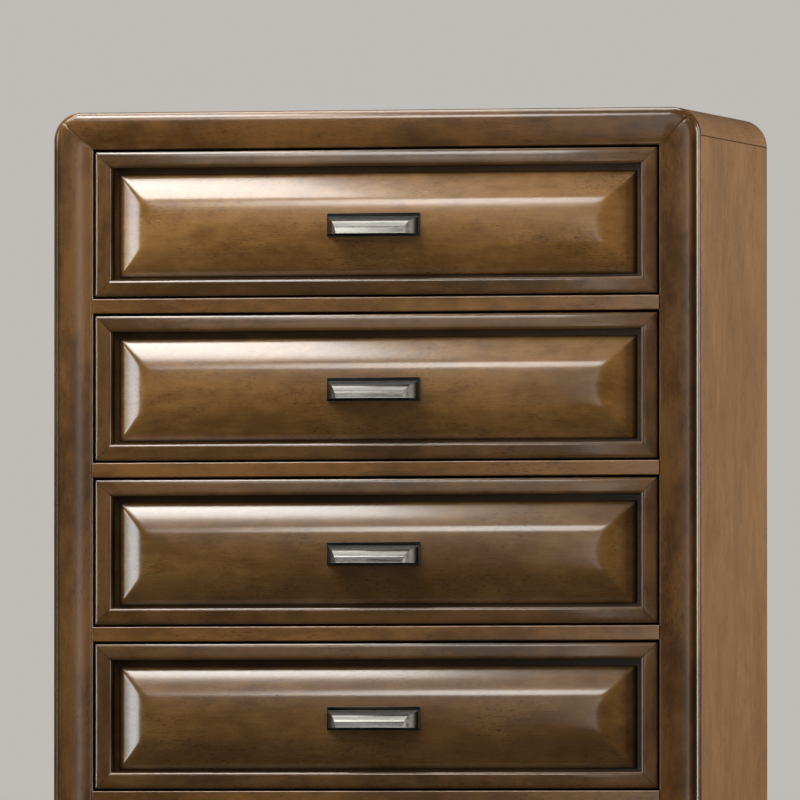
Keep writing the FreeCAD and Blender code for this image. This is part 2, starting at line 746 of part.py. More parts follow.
def make_pull():
    """Cast hood on a flat plate: low brow, sloping shoulder, steeper lip and splayed ends."""
    plate_face = f"({CREST} - pull_plate)"
    brow = f"({CREST} - brow_reach)"
    brow_edge = "(hood_top - brow_drop)"
    shoulder = f"({CREST} - shoulder_reach)"
    lip_top = f"({brow_edge} - shoulder_drop)"
    lip_foot = f"({lip_top} - lip_drop)"
    outer_section = [
        (CREST, "hood_top"),
        (plate_face, "hood_top"),
        (brow, brow_edge),
        (shoulder, lip_top),
        (PULL_FRONT, lip_foot),
        (CREST, lip_foot),
    ]
    inner_section = [
        (plate_face, "(hood_top - hood_wall)"),
        (f"({brow} + hood_wall / 2)", f"({brow_edge} - hood_wall)"),
        (f"({shoulder} + hood_wall)", f"({lip_top} - hood_wall / 2)"),
        (f"({PULL_FRONT} + hood_wall)", lip_foot),
        (f"({PULL_FRONT} + hood_wall)", f"({lip_foot} - hood_wall)"),
        (plate_face, f"({lip_foot} - hood_wall)"),
    ]
    shells = []
    for name, section, wall in (("hood", outer_section, "0"), ("hollow", inner_section, "hood_wall")):
        body = new_body(f"pull_{name}")
        base = f"(hood_length / 2 - {wall})"
        tip = f"(lip_length / 2 - {wall})"
        pad(body, "YZ_Plane", [section], f"-{base}", base)
        splay = [[(f"({sign} * {base})", plate_face), (f"({sign} * {tip})", PULL_FRONT),
                  (f"({sign} * {base})", PULL_FRONT)] for sign in (-1, 1)]
        pocket(body, "XY_Plane", splay, "hood_top", f"hood_top - {lip_foot} + hood_wall")
        shells.append(body)
    plate = new_body("pull_plate")
    outline = [("(pull_length / 2)", "(pull_height / 2)"), ("(-pull_length / 2)", "(pull_height / 2)"),
               ("(-pull_length / 2)", "(-pull_height / 2)"), ("(pull_length / 2)", "(-pull_height / 2)")]
    base = pad(plate, "XZ_Plane", [outline], f"-{CREST}", f"-{plate_face}")
    fillet(plate, base, lambda p: near(p.y, number(plate_face)), "pull_plate_round")
    hood = cut("pull_hood_shell", shells[0], shells[1])
    pull = doc.addObject("Part::Fuse", "pull_casting")
    pull.Base = hood
    pull.Tool = plate
    return pull


def make_drawers():
    front_frame = make_front_frame()
    panel = make_raised_panel()
    walls, floor = make_drawer_box()
    slides = make_slides()
    pull = make_pull()
    channels = []
    for index in range(1, DRAWERS + 1):
        centre = opening_centre(index)
        drawer = f"drawer_{index}"
        node(f"{drawer}_front_frame", front_frame, centre)
        node(f"{drawer}_raised_panel", [panel], centre)
        node(f"{drawer}_box_walls", walls, centre)
        node(f"{drawer}_box_bottom", [floor], centre)
        node(f"{drawer}_pull", [pull], f"({centre} - pull_drop)")
        node(f"{drawer}_slide_rails", slides["rail"], centre)
        node(f"{drawer}_ball_cages", slides["cage"], centre)
        pair = doc.addObject("Part::Compound", "channel_pair")
        pair.Links = slides["channel"]
        pair.setExpression(".Placement.Base.z", bound(centre))
        channels.append(pair)
    node("slide_channels", channels)


def write_parts():
    """Check every object and shape, then write one file for each piece."""
    doc.recompute()
    for thing in doc.Objects:
        if "Invalid" in thing.State or "Error" in thing.State:
            raise RuntimeError(f"{thing.Label} did not recompute: {thing.State}")
    for piece in nodes:
        if piece.Shape.isNull() or not piece.Shape.isValid() or not piece.Shape.Solids:
            raise RuntimeError(f"{piece.Label} has no valid solid")
    os.makedirs("parts", exist_ok=True)
    for piece in nodes:
        piece.Shape.exportStep(os.path.join("parts", f"{piece.Label}.step"))
    print(len(nodes), "pieces written")


make_face_frame()
make_top()
make_sides()
make_back_and_bottom()
make_battens()
make_feet()
make_drawers()
write_parts()
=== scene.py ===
"""Dresses a packed chest of five drawers: stained wood, lacquer, metal pulls and steel slides.

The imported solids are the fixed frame.  Pieces whose shape needs a finer surface are rebuilt here
and stand for their solids; the others keep their solids and get a finish, most with eased edges.
All lengths are metres, front is -Y, right is +X and up is +Z.
"""

import json
import math

import bmesh
import bpy
from bpy.props import FloatProperty, FloatVectorProperty, IntProperty, PointerProperty
from mathutils import Matrix, Vector

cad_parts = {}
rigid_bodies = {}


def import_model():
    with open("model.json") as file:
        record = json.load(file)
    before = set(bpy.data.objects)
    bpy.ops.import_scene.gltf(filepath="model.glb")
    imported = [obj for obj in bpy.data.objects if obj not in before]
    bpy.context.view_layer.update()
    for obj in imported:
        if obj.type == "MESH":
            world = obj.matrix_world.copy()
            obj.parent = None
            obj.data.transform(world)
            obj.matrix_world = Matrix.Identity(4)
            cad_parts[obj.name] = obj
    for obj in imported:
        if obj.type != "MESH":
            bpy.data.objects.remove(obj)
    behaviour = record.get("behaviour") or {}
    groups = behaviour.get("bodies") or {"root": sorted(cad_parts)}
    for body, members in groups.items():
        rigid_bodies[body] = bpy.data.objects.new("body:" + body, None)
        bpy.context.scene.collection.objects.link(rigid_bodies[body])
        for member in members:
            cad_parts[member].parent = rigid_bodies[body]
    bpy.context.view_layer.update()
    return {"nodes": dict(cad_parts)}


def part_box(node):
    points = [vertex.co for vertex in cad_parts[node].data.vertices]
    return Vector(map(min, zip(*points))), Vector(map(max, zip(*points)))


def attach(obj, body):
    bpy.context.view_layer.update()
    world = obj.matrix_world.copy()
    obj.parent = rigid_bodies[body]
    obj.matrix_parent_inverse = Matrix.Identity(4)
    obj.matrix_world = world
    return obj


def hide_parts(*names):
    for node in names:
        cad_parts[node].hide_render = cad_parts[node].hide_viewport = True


bl_info = {
    "name": "Chest of drawers dressing",
    "version": (1, 0, 0),
    "blender": (4, 5, 0),
    "location": "3D View > Sidebar > Chest",
    "description": "Finishes for a chest of drawers with pillow-panelled fronts",
    "category": "Object",
}

for spare in list(bpy.data.objects):
    bpy.data.objects.remove(spare)

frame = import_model()
NODES = frame["nodes"]
DRAWERS = range(1, 6)


# Settings that a user would change
def colour_of(name, description, default):
    return FloatVectorProperty(name=name, description=description, subtype="COLOR", size=3,
                               min=0, max=1, default=default)


def length_of(name, description, default):
    return FloatProperty(name=name, description=description, subtype="DISTANCE", default=default)


def slope_of(name, description, degrees):
    return FloatProperty(name=name, description=description, subtype="ANGLE",
                         default=math.radians(degrees))


class ChestWoodSettings(bpy.types.PropertyGroup):
    """Stains and lacquer."""

    frame_light: colour_of(
        "Frame stain, light", "Pale tone of the solid wood mouldings", (0.178, 0.082, 0.020))
    frame_dark: colour_of(
        "Frame stain, dark", "Deep tone of the solid wood mouldings", (0.076, 0.033, 0.007))
    divider_light: colour_of(
        "Divider stain, light", "Pale tone of the rails between the drawers", (0.235, 0.110, 0.028))
    divider_dark: colour_of(
        "Divider stain, dark", "Deep tone of the rails between the drawers", (0.110, 0.048, 0.010))
    front_light: colour_of(
        "Front moulding, light", "Pale tone of the mouldings on the drawers", (0.150, 0.074, 0.022))
    front_dark: colour_of(
        "Front moulding, dark", "Deep tone of the mouldings on the drawers", (0.070, 0.033, 0.009))
    panel_light: colour_of(
        "Panel stain, light", "Pale tone of the drawer panels", (0.315, 0.160, 0.046))
    panel_dark: colour_of(
        "Panel stain, dark", "Deep tone of the drawer panels", (0.180, 0.084, 0.020))
    side_light: colour_of(
        "Side veneer, light", "Pale tone of the veneered sides and top", (0.400, 0.215, 0.085))
    side_dark: colour_of(
        "Side veneer, dark", "Deep tone of the veneered sides and top", (0.270, 0.138, 0.050))
    # The glaze colour is also used as painted shade in recesses and along the stiles' outer edges
    glaze_and_shade: colour_of("Glaze", "Dark glaze left in grooves and joints", (0.010, 0.006, 0.004))
    box_light: colour_of("Drawer box, light", "Pale tone of the bare drawer boxes", (0.56, 0.41, 0.25))
    box_dark: colour_of("Drawer box, dark", "Deep tone of the bare drawer boxes", (0.43, 0.29, 0.16))
    lacquer_roughness: FloatProperty(
        name="Lacquer roughness", description="Roughness of the satin lacquer",
        min=0.05, max=1, default=0.30)


class ChestPanelSettings(bpy.types.PropertyGroup):
    """Pillow panels in the drawer fronts."""

    edge_tilt: slope_of("Edge tilt", "Slope of the bevel at the panel's edge", 30)
    ridge_tilt: slope_of("Ridge tilt", "Slope of the bevel where it meets the ridge", 20)
    field_tilt: slope_of("Field tilt", "Slope of the field where it leaves the ridge", 8)
    bevel_run: length_of("Bevel run", "Width of the bevel", 0.031)
    ridge_run: length_of("Ridge run", "Width of the rounded ridge", 0.010)
    end_run: length_of("End run", "Length over which each end rises to the field", 0.055)
    hip_round: length_of("Hip rounding", "Softness of the mitred hips", 0.0022)
    columns: IntProperty(name="Columns", description="Points along a panel", min=20, default=320)
    rows: IntProperty(name="Rows", description="Points up a panel", min=10, default=72)


class ChestHardwareSettings(bpy.types.PropertyGroup):
    """Pulls, slides, screws and nails."""

    pull_metal: colour_of("Pull metal", "Brushed dark nickel of the pulls", (0.115, 0.114, 0.104))
    slide_steel: colour_of("Slide steel", "Zinc plated steel of the slides", (0.62, 0.63, 0.64))
    screw_steel: colour_of(
        "Screw steel", "Bright steel of the screws, nails and balls", (0.70, 0.69, 0.66))
    screw_radius: length_of("Screw head", "Radius of a screw's head", 0.0036)
    nail_radius: length_of("Nail head", "Radius of a nail's head", 0.0022)
    ball_radius: length_of("Ball", "Radius of a slide's balls", 0.00255)
    edge_ease: length_of("Eased edge", "Rounding of the sharp edges", 0.0006)


class ChestStageSettings(bpy.types.PropertyGroup):
    """Floor, lights and camera."""

    floor_colour: colour_of("Floor", "Plain pale floor", (0.56, 0.55, 0.54))
    floor_shade: colour_of("Floor bounce", "Tone of the floor in bounced light", (0.085, 0.070, 0.055))
    backdrop: colour_of("Backdrop", "Plain pale background", (0.527, 0.502, 0.474))
    ambient: FloatProperty(
        name="Ambient", description="Level of the light from all round", min=0, default=0.09)
    lens: FloatProperty(
        name="Lens", description="Focal length of the camera in millimetres", default=803.8)


# Node trees
class Graph:
    """Writes a node tree one node at a time."""

    def __init__(self, tree):
        self.tree = tree

    def add(self, kind, inputs=None, **settings):
        made = self.tree.nodes.new(kind)
        for name, value in settings.items():
            setattr(made, name, value)
        self.fill(made, inputs or {})
        return made

    def fill(self, node, inputs):
        for name, value in inputs.items():
            self.put(node.inputs[name], value)

    def put(self, socket, value):
        if isinstance(value, bpy.types.NodeSocket):
            self.tree.links.new(value, socket)
        elif socket.type == "RGBA":
            socket.default_value = (*value, 1.0)
        else:
            socket.default_value = value

    def calculated(self, kind, operation, values):
        made = self.add(kind, operation=operation)
        for socket, value in zip(made.inputs, values):
            self.put(socket, value)
        return made.outputs[0]

    def math(self, operation, *values):
        return self.calculated("ShaderNodeMath", operation, values)

    def times(self, first, second):
        return self.math("MULTIPLY", first, second)

    def minus(self, first, second):
        return self.math("SUBTRACT", first, second)

    def axes(self, vector):
        return self.add("ShaderNodeSeparateXYZ", {"Vector": vector}).outputs

    def join(self, x, y, z):
        return self.add("ShaderNodeCombineXYZ", {"X": x, "Y": y, "Z": z}).outputs[0]

    def place(self):
        return self.add("ShaderNodeTexCoord").outputs["Object"]

    def stored(self, name):
        """Value that a mesh keeps for its points under that name."""
        return self.add("ShaderNodeAttribute", attribute_name=name).outputs["Fac"]

    def noise(self, vector, scale, detail=2.0, roughness=0.5):
        """Noise with its own scale, in waves per metre, on each axis."""
        stretched = self.calculated("ShaderNodeVectorMath", "MULTIPLY", (vector, scale))
        made = self.add("ShaderNodeTexNoise", {
            "Vector": stretched, "Scale": 1.0, "Detail": detail, "Roughness": roughness})
        return made.outputs["Fac"]

    def ramp(self, value, low, high, start=0.0, end=1.0):
        """Smooth change from start to end while the value goes from low to high."""
        made = self.add("ShaderNodeMapRange", {
            "Value": value, "From Min": low, "From Max": high, "To Min": start, "To Max": end},
            interpolation_type="SMOOTHSTEP")
        return made.outputs[0]

    def mix(self, factor, first, second, blend="MIX"):
        made = self.add("ShaderNodeMix", data_type="RGBA", blend_type=blend)
        self.fill(made, {0: factor, 6: first, 7: second})
        return made.outputs[2]

    def tinted(self, colour, tone):
        return self.mix(1.0, colour, self.join(tone, tone, tone), "MULTIPLY")

    def bump(self, height, strength, distance, **below):
        made = self.add("ShaderNodeBump", {
            "Height": height, "Strength": strength, "Distance": distance, **below})
        return made.outputs[0]

    def made(self, kind, inputs=None, **settings):
        """First output of a new geometry node."""
        return self.add("GeometryNode" + kind, inputs, **settings).outputs[0]

    def store(self, geometry, name, value):
        return self.made("StoreNamedAttribute", {"Geometry": geometry, "Name": name, "Value": value},
                         data_type="FLOAT", domain="POINT")

    def joined(self, *parts):
        made = self.add("GeometryNodeJoinGeometry")
        for part in parts:
            self.put(made.inputs[0], part)
        return made.outputs[0]


# Finishes
BROAD_FIGURE = (4.5, 15, 15)
CLOUDS = (30, 55, 55)
STREAKS = (26, 300, 300)
PORE_CROWDS = (9, 20, 20)
PORES = (150, 700, 700)
SWELLS = (22, 34, 34)
COAT_ROUGHNESS = 0.16
# Stain figure and calm of the veneers
PANEL_FIGURE = (0.55, 0.14)
SIDE_FIGURE = (0.6, 0.24)
# Half width past which a drawer box's walls run from front to back
BOX_SIDE_FROM = 0.3479
BARE_BANDS = (1.6, 30, 30)
BARE_STREAKS = (8, 400, 400)
METAL_CLOUDS = (45, 45, 45)
# Painted shade of the screws' crossed recess
RECESS_SHADE_COLOUR = (0.02, 0.02, 0.02)
# Depths between which painted shade darkens the pulls' plate
PULL_PAINTED_SHADE = (-0.206, -0.1995)
PLASTIC_SPECKS = (600, 600, 600)


def new_material(name):
    """An empty material with its output and one Principled shader."""
    material = bpy.data.materials.new(name)
    material.use_nodes = True
    material.node_tree.nodes.clear()
    graph = Graph(material.node_tree)
    shader = graph.add("ShaderNodeBsdfPrincipled")
    graph.add("ShaderNodeOutputMaterial", {"Surface": shader.outputs[0]})
    material.diffuse_color = (0.3, 0.2, 0.1, 1.0)
    return material, graph, shader


def grain_place(graph, axis):
    """Object coordinates turned so that X runs along the grain."""
    x, y, z = graph.axes(graph.place())
    turned = {"X": (x, z, y), "Y": (y, x, z), "Z": (z, x, y)}
    return graph.join(*turned[axis])


def tones(kind):
    """Dark and light tone of a kind of wood, as set."""
    wood = bpy.context.scene.chest_wood
    return getattr(wood, kind + "_dark"), getattr(wood, kind + "_light")


def lacquered_wood(name, axis, kind, figure=0.6, calm=0.12, seam=None):
    """Stained wood under satin lacquer, its grain along the named axis.

    Figure is the share of the broad bands, calm evens out the stain, and a joint at the height of
    the seam is filled with glaze. Painted shade, kept with the glaze, darkens the colour and takes the
    lacquer's reflection away in recesses and along edges.
    """
    settings = bpy.context.scene.chest_wood
    material, graph, shader = new_material(name)
    place = grain_place(graph, axis)
    broad = graph.noise(place, BROAD_FIGURE, 3, 0.55)
    cloud = graph.noise(place, CLOUDS, 5, 0.65)
    streak = graph.noise(place, STREAKS, 3, 0.6)
    crowd = graph.ramp(graph.noise(place, PORE_CROWDS), 0.35, 0.7)
    pore = graph.times(graph.ramp(graph.noise(place, PORES), 0.56, 0.68), crowd)
    bands = graph.math("ADD", graph.times(broad, figure), graph.times(cloud, 1 - figure))
    stain = graph.mix(graph.ramp(bands, 0.5 - calm, 0.5 + calm), *tones(kind))
    lines = graph.ramp(streak, 0.25, 0.75, 0.90, 1.08)
    shade = graph.times(lines, graph.minus(1.0, graph.times(pore, 0.6)))
    shade = graph.times(shade, graph.minus(1.0, graph.stored("deep")))
    # Real glaze in joints and painted shade in recesses, at the panels' feet and ends and along the
    # stiles' outer edges; both darken the colour and clear the lacquer
    glaze_and_shade = graph.stored("glaze_and_shade")
    if seam:
        gap = graph.math("ABSOLUTE", graph.minus(graph.axes(graph.place())[2], seam))
        glaze_and_shade = graph.math("MAXIMUM", glaze_and_shade, graph.ramp(gap, 0.0004, 0.0012, 0.8, 0.0))
    clear = graph.minus(1.0, glaze_and_shade)
    fine = graph.bump(graph.minus(streak, graph.times(pore, 0.8)), 0.15, 0.0001)
    graph.fill(shader, {
        "Base Color": graph.mix(glaze_and_shade, graph.tinted(stain, shade), settings.glaze_and_shade),
        "Roughness": graph.math("ADD", settings.lacquer_roughness - 0.05, graph.times(cloud, 0.1)),
        "Coat Weight": clear,
        "Coat Roughness": COAT_ROUGHNESS,
        "Specular IOR Level": graph.times(clear, 0.3),
        "Normal": graph.bump(graph.noise(place, SWELLS), 0.4, 0.0008, Normal=fine)})
    return material


def bare_wood(name, axis, kind, beyond=None):
    """Sanded wood without lacquer; past the distance beyond from the middle the grain runs along Y."""
    material, graph, shader = new_material(name)
    place = grain_place(graph, axis)
    if beyond:
        across = graph.math("ABSOLUTE", graph.axes(graph.place())[0])
        turned = graph.add("ShaderNodeMix", data_type="VECTOR")
        graph.fill(turned, {0: graph.math("GREATER_THAN", across, beyond),
                            4: place, 5: grain_place(graph, "Y")})
        place = turned.outputs[1]
    broad = graph.noise(place, BARE_BANDS, 3)
    streak = graph.noise(place, BARE_STREAKS, 3, 0.6)
    stain = graph.mix(graph.ramp(broad, 0.3, 0.7), *tones(kind))
    graph.fill(shader, {
        "Base Color": graph.tinted(stain, graph.ramp(streak, 0.25, 0.75, 0.86, 1.08)),
        "Roughness": graph.ramp(streak, 0.2, 0.8, 0.5, 0.68),
        "Normal": graph.bump(streak, 0.3, 0.0002)})
    return material


def brushed_metal(name, colour, roughness, brush, painted_shade=None):
    """Metal with fine brush marks; painted shade darkens the flanks and the parts behind the given
    depths.
    """
    material, graph, shader = new_material(name)
    place = graph.place()
    marks = graph.noise(place, brush, 3, 0.6)
    cloud = graph.noise(place, METAL_CLOUDS, 3)
    worn = graph.math("ADD", graph.times(marks, 0.5), graph.times(cloud, 0.5))
    tone = graph.ramp(worn, 0.3, 0.7, 0.86, 1.08)
    if painted_shade:
        # Painted shade on the flanks and on the plate behind the hood
        normal = graph.add("ShaderNodeNewGeometry").outputs["Normal"]
        flank = graph.ramp(graph.math("ABSOLUTE", graph.axes(normal)[0]), 0.3, 0.6)
        dark = graph.math("MAXIMUM", flank, graph.ramp(graph.axes(place)[1], *painted_shade))
        tone = graph.times(tone, graph.minus(1.0, graph.times(dark, 0.5)))
    graph.fill(shader, {
        # Painted shade where a screw's recess lies
        "Base Color": graph.mix(graph.stored("recess"), graph.tinted(colour, tone), RECESS_SHADE_COLOUR),
        "Metallic": 1.0,
        "Roughness": graph.ramp(marks, 0.2, 0.8, roughness - 0.06, roughness + 0.08),
        "Normal": graph.bump(marks, 0.08, 0.0001)})
    return material


def plain_plastic(name, colour, roughness):
    """Moulded plastic with fine specks."""
    material, graph, shader = new_material(name)
    speck = graph.noise(graph.place(), PLASTIC_SPECKS)
    graph.fill(shader, {
        "Base Color": graph.tinted(colour, graph.ramp(speck, 0.3, 0.7, 0.85, 1.1)),
        "Roughness": graph.ramp(speck, 0.3, 0.7, roughness, roughness + 0.1),
        "Normal": graph.bump(speck, 0.15, 0.0001)})
    return material


def finish(name):
    """The finish of that name, made when it is first asked for."""
    made = bpy.data.materials.get(name)
    if made:
        return made
    metal = bpy.context.scene.chest_hardware
    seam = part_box("right_side_panel")[1].z
    recipes = {
        "frame_upright": (lacquered_wood, "Z", "frame"),
        "frame_level": (lacquered_wood, "X", "frame"),
        "divider_level": (lacquered_wood, "X", "divider"),
        "front_upright": (lacquered_wood, "Z", "front"),
        "front_level": (lacquered_wood, "X", "front"),
        "panel_veneer": (lacquered_wood, "X", "panel", *PANEL_FIGURE),
        "side_veneer": (lacquered_wood, "Z", "side", *SIDE_FIGURE, seam),
        "top_veneer": (lacquered_wood, "X", "side", *SIDE_FIGURE),
        "corner_moulding": (lacquered_wood, "Y", "side", *SIDE_FIGURE, seam),
        "box_side": (bare_wood, "X", "box", BOX_SIDE_FROM),
        "batten_softwood": (bare_wood, "Y", "box"),
        "box_ply": (bare_wood, "X", "box"),
        "rough_softwood": (bare_wood, "X", "box"),
        "back_board": (bare_wood, "Z", "side"),
        "pull_nickel": (brushed_metal, metal.pull_metal, 0.19, (20, 200, 200), PULL_PAINTED_SHADE),
        "zinc_steel": (brushed_metal, metal.slide_steel, 0.34, (500, 25, 500)),
        "screw_steel": (brushed_metal, metal.screw_steel, 0.28, (900, 900, 900)),
        "cage_plastic": (plain_plastic, (0.03, 0.03, 0.032), 0.45),
        "glide_plastic": (plain_plastic, (0.045, 0.032, 0.024), 0.5),
    }
    maker, *details = recipes[name]
    return maker(name, *details)


# Meshes
CRISP_ANGLE = math.radians(38)
THIN_EASE = 0.0003


def in_scene(name, data):
    """A new object in the scene."""
    made = bpy.data.objects.new(name, data)
    bpy.context.scene.collection.objects.link(made)
    return made


def finished_mesh(piece):
    """Plain mesh of a piece with its modifiers applied."""
    bpy.context.view_layer.update()
    depsgraph = bpy.context.evaluated_depsgraph_get()
    return bpy.data.meshes.new_from_object(piece.evaluated_get(depsgraph), depsgraph=depsgraph)


def dress(name, material):
    """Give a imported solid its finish."""
    piece = NODES[name]
    piece.data.materials.clear()
    piece.data.materials.append(material)
    return piece


def ease(piece, width):
    """Round the sharp edges of a piece with modifiers, leaving its mesh as it is."""
    weld = piece.modifiers.new("Weld", "WELD")
    weld.merge_threshold = 1e-6
    flat = piece.modifiers.new("Flat faces", "DECIMATE")
    flat.decimate_type = "DISSOLVE"
    flat.angle_limit = math.radians(0.4)
    bevel = piece.modifiers.new("Eased edges", "BEVEL")
    bevel.width = width
    bevel.segments = 2
    bevel.limit_method = "ANGLE"
    bevel.angle_limit = math.radians(35)
    normals = piece.modifiers.new("Normals", "WEIGHTED_NORMAL")
    normals.keep_sharp = True


def piece_from(name, verts, faces, materials, face_slots=None, glaze_and_shade=None):
    """A new mesh object; glaze_and_shade holds a value of glaze or painted shade for each point."""
    mesh = bpy.data.meshes.new(name)
    mesh.from_pydata(verts, [], faces)
    for material in materials:
        mesh.materials.append(material)
    if face_slots:
        mesh.polygons.foreach_set("material_index", face_slots)
    if glaze_and_shade:
        mesh.attributes.new("glaze_and_shade", "FLOAT", "POINT").data.foreach_set("value", glaze_and_shade)
    work = bmesh.new()
    work.from_mesh(mesh)
    bmesh.ops.remove_doubles(work, verts=work.verts, dist=1e-6)
    bmesh.ops.recalc_face_normals(work, faces=work.faces)
    for edge in work.edges:
        edge.smooth = len(edge.link_faces) == 2 and edge.calc_face_angle(0) < CRISP_ANGLE
    for face in work.faces:
        face.smooth = True
    work.to_mesh(mesh)
    work.free()
    return in_scene(name, mesh)


def loft(rows, closed_ends=True):
    """Faces between rows of points that each run round a closed section."""
    count = len(rows[0])
    faces = []
    for row in range(len(rows) - 1):
        low, high = row * count, (row + 1) * count
        for column in range(count):
            after = (column + 1) % count
            faces.append((low + column, low + after, high + after, high + column))
    if closed_ends:
        faces.append(tuple(range(count)))
        last = (len(rows) - 1) * count
        faces.append(tuple(last + column for column in range(count)))
    return faces


def settle(piece, body, slot, *nodes):
    """Tie a new piece to its body and hide the solids it stands for; the slot is not used."""
    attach(piece, body)
    if nodes:
        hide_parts(*nodes)


# Face frame
FRAME_CROWN = 0.0042
CREST = 0.75
FACE_STEPS = 16
# Radius and turn in degrees of the arcs that round the outer edge
OUTER_ARCS = ((0.018, 25), (0.010, 60), (0.003, 90))
ARC_STEPS = 8
INNER_ROUND = 0.0022


def crowned_profile(width, thickness):
    """Points across a moulding, from its inner back edge over the crown to its outer back edge."""
    crest = CREST * width

    def crown(place):
        return FRAME_CROWN * ((place - crest) / crest) ** 2

    points = [(0.0, thickness)]
    for degrees in range(0, 91, 6):
        turn = math.radians(degrees)
        points.append((INNER_ROUND * (1 - math.cos(turn)),
                       crown(INNER_ROUND) + INNER_ROUND * (1 - math.sin(turn))))
    rounding, begun = [(0.0, 0.0)], 0.0
    for radius, degrees in OUTER_ARCS:
        along, depth = rounding[-1]
        ended = math.radians(degrees)
        for step in range(1, ARC_STEPS + 1):
            turn = begun + (ended - begun) * step / ARC_STEPS
            rounding.append((along + radius * (math.sin(turn) - math.sin(begun)),
                             depth + radius * (math.cos(begun) - math.cos(turn))))
        begun = ended
    edge = width - rounding[-1][0]
    for step in range(1, FACE_STEPS):
        place = INNER_ROUND + (edge - INNER_ROUND) * step / FACE_STEPS
        points.append((place, crown(place)))
    points += [(edge + run, crown(edge) + fall) for run, fall in rounding]
    points.append((width, thickness))
    return points


class CHEST_OT_face_frame(bpy.types.Operator):
    """Crowned stiles and top rail, mitred at the rounded corners"""

    bl_idname = "chest.face_frame"
    bl_label = "Face frame"

    CORNER_RADIUS = 0.036
    STRAIGHT_ROWS = 10
    CORNER_ROWS = 12
    # The mitre's groove: its half angle at the inner corner, its depth and the glaze in it
    GROOVE = math.radians(0.9)
    GROOVE_DEPTH = 0.0004
    GROOVE_GLAZE = 0.8
    # Share of painted shade along the stiles' outer arcs, at each step from the face outwards; it also
    # takes away the lacquer's reflection there
    EDGE_PAINTED_SHADE = (0, 0, 0, 0.15, 0.4, 0.6, 0.7, 0.75, 0.75, 0.75, 0.6, 0.4, 0.15)
    # Row at which that painted shade has gone, and the number of rows over which it fades
    EDGE_SHADE_END = 18
    EDGE_SHADE_FADE = 8

    def painted_edge_shade_and_mitre_glaze(self, rows):
        """Painted shade and glaze of each point of a stile: painted shade on the outer edges and a dark
        glazed mitre in the last row.
        """
        beyond = len(OUTER_ARCS) * ARC_STEPS + 2 - len(self.EDGE_PAINTED_SHADE)
        before = len(rows[0]) - len(self.EDGE_PAINTED_SHADE) - beyond
        glaze_and_shade = []
        for number in range(len(rows) - 1):
            fade = min(max((self.EDGE_SHADE_END - number) / self.EDGE_SHADE_FADE, 0.0), 1.0)
            edge = [fade * share for share in self.EDGE_PAINTED_SHADE]
            glaze_and_shade += [0.0] * before + edge + [0.0] * beyond
        return glaze_and_shade + [self.GROOVE_GLAZE] * len(rows[0])

    def execute(self, context):
        low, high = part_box("right_stile")
        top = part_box("top_rail")[1].z
        inner = Vector((low.x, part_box("top_rail")[0].z))
        outer = high.x
        front, thickness = low.y, high.y - low.y
        radius = self.CORNER_RADIUS
        centre = Vector((outer - radius, top - radius))

        def reach(turn):
            """Distance from the inner corner to the outline in that direction."""
            way = Vector((math.cos(turn), math.sin(turn)))
            if inner.y + (outer - inner.x) * math.tan(turn) <= centre.y:
                return (outer - inner.x) / way.x
            if turn > 1.0 and inner.x + (top - inner.y) / math.tan(turn) <= centre.x:
                return (top - inner.y) / way.y
            start = inner - centre
            half = start.dot(way)
            return -half + math.sqrt(half * half - start.dot(start) + radius ** 2)

        def row(origin, turn, sunk=0.0):
            """Points across the moulding at one place, its face sunk where it meets a groove."""
            way = Vector((math.cos(turn), math.sin(turn)))
            points = []
            for along, depth in crowned_profile(reach(turn), thickness):
                spot = origin + way * along
                lower = sunk if depth < thickness else 0.0
                points.append((spot.x, front + depth + lower, spot.y))
            return points

        mitre = math.atan2(top - inner.y, outer - inner.x)
        level = math.pi / 2
        straight, corner = self.STRAIGHT_ROWS, self.CORNER_ROWS
        past_groove = mitre + self.GROOVE
        joint = row(inner, mitre, self.GROOVE_DEPTH)
        stile_rows = [row(Vector((inner.x, low.z + (inner.y - low.z) * step / straight)), 0.0)
                      for step in range(straight)]
        stile_rows += [row(inner, (mitre - self.GROOVE) * step / corner) for step in range(corner + 1)]
        stile_rows.append(joint)
        rail_rows = [joint]
        rail_rows += [row(inner, past_groove + (level - past_groove) * step / corner)
                      for step in range(corner + 1)]
        rail_rows += [row(Vector((inner.x * (1 - step / straight), inner.y)), level)
                      for step in range(1, straight + 1)]
        for name, sign in (("right_stile", 1), ("left_stile", -1)):
            verts = [(sign * x, y, z) for points in stile_rows for x, y, z in points]
            piece = piece_from(name + "_moulding", verts, loft(stile_rows), [finish("frame_upright")],
                               None, self.painted_edge_shade_and_mitre_glaze(stile_rows))
            settle(piece, "case", "case_wood", name)
        mirrored = [[(-x, y, z) for x, y, z in points] for points in reversed(rail_rows[:-1])]
        rows = rail_rows + mirrored
        verts = [point for points in rows for point in points]
        dark = [self.GROOVE_GLAZE] * len(joint)
        glaze_and_shade = dark + [0.0] * (len(verts) - 2 * len(joint)) + dark
        piece = piece_from("top_rail_moulding", verts, loft(rows), [finish("frame_level")], None, glaze_and_shade)
        settle(piece, "case", "case_wood", "top_rail")
        ease(dress("bottom_rail", finish("frame_level")), THIN_EASE)
        for index in range(1, 5):
            ease(dress(f"divider_rail_{index}", finish("divider_level")), THIN_EASE)
        return {"FINISHED"}


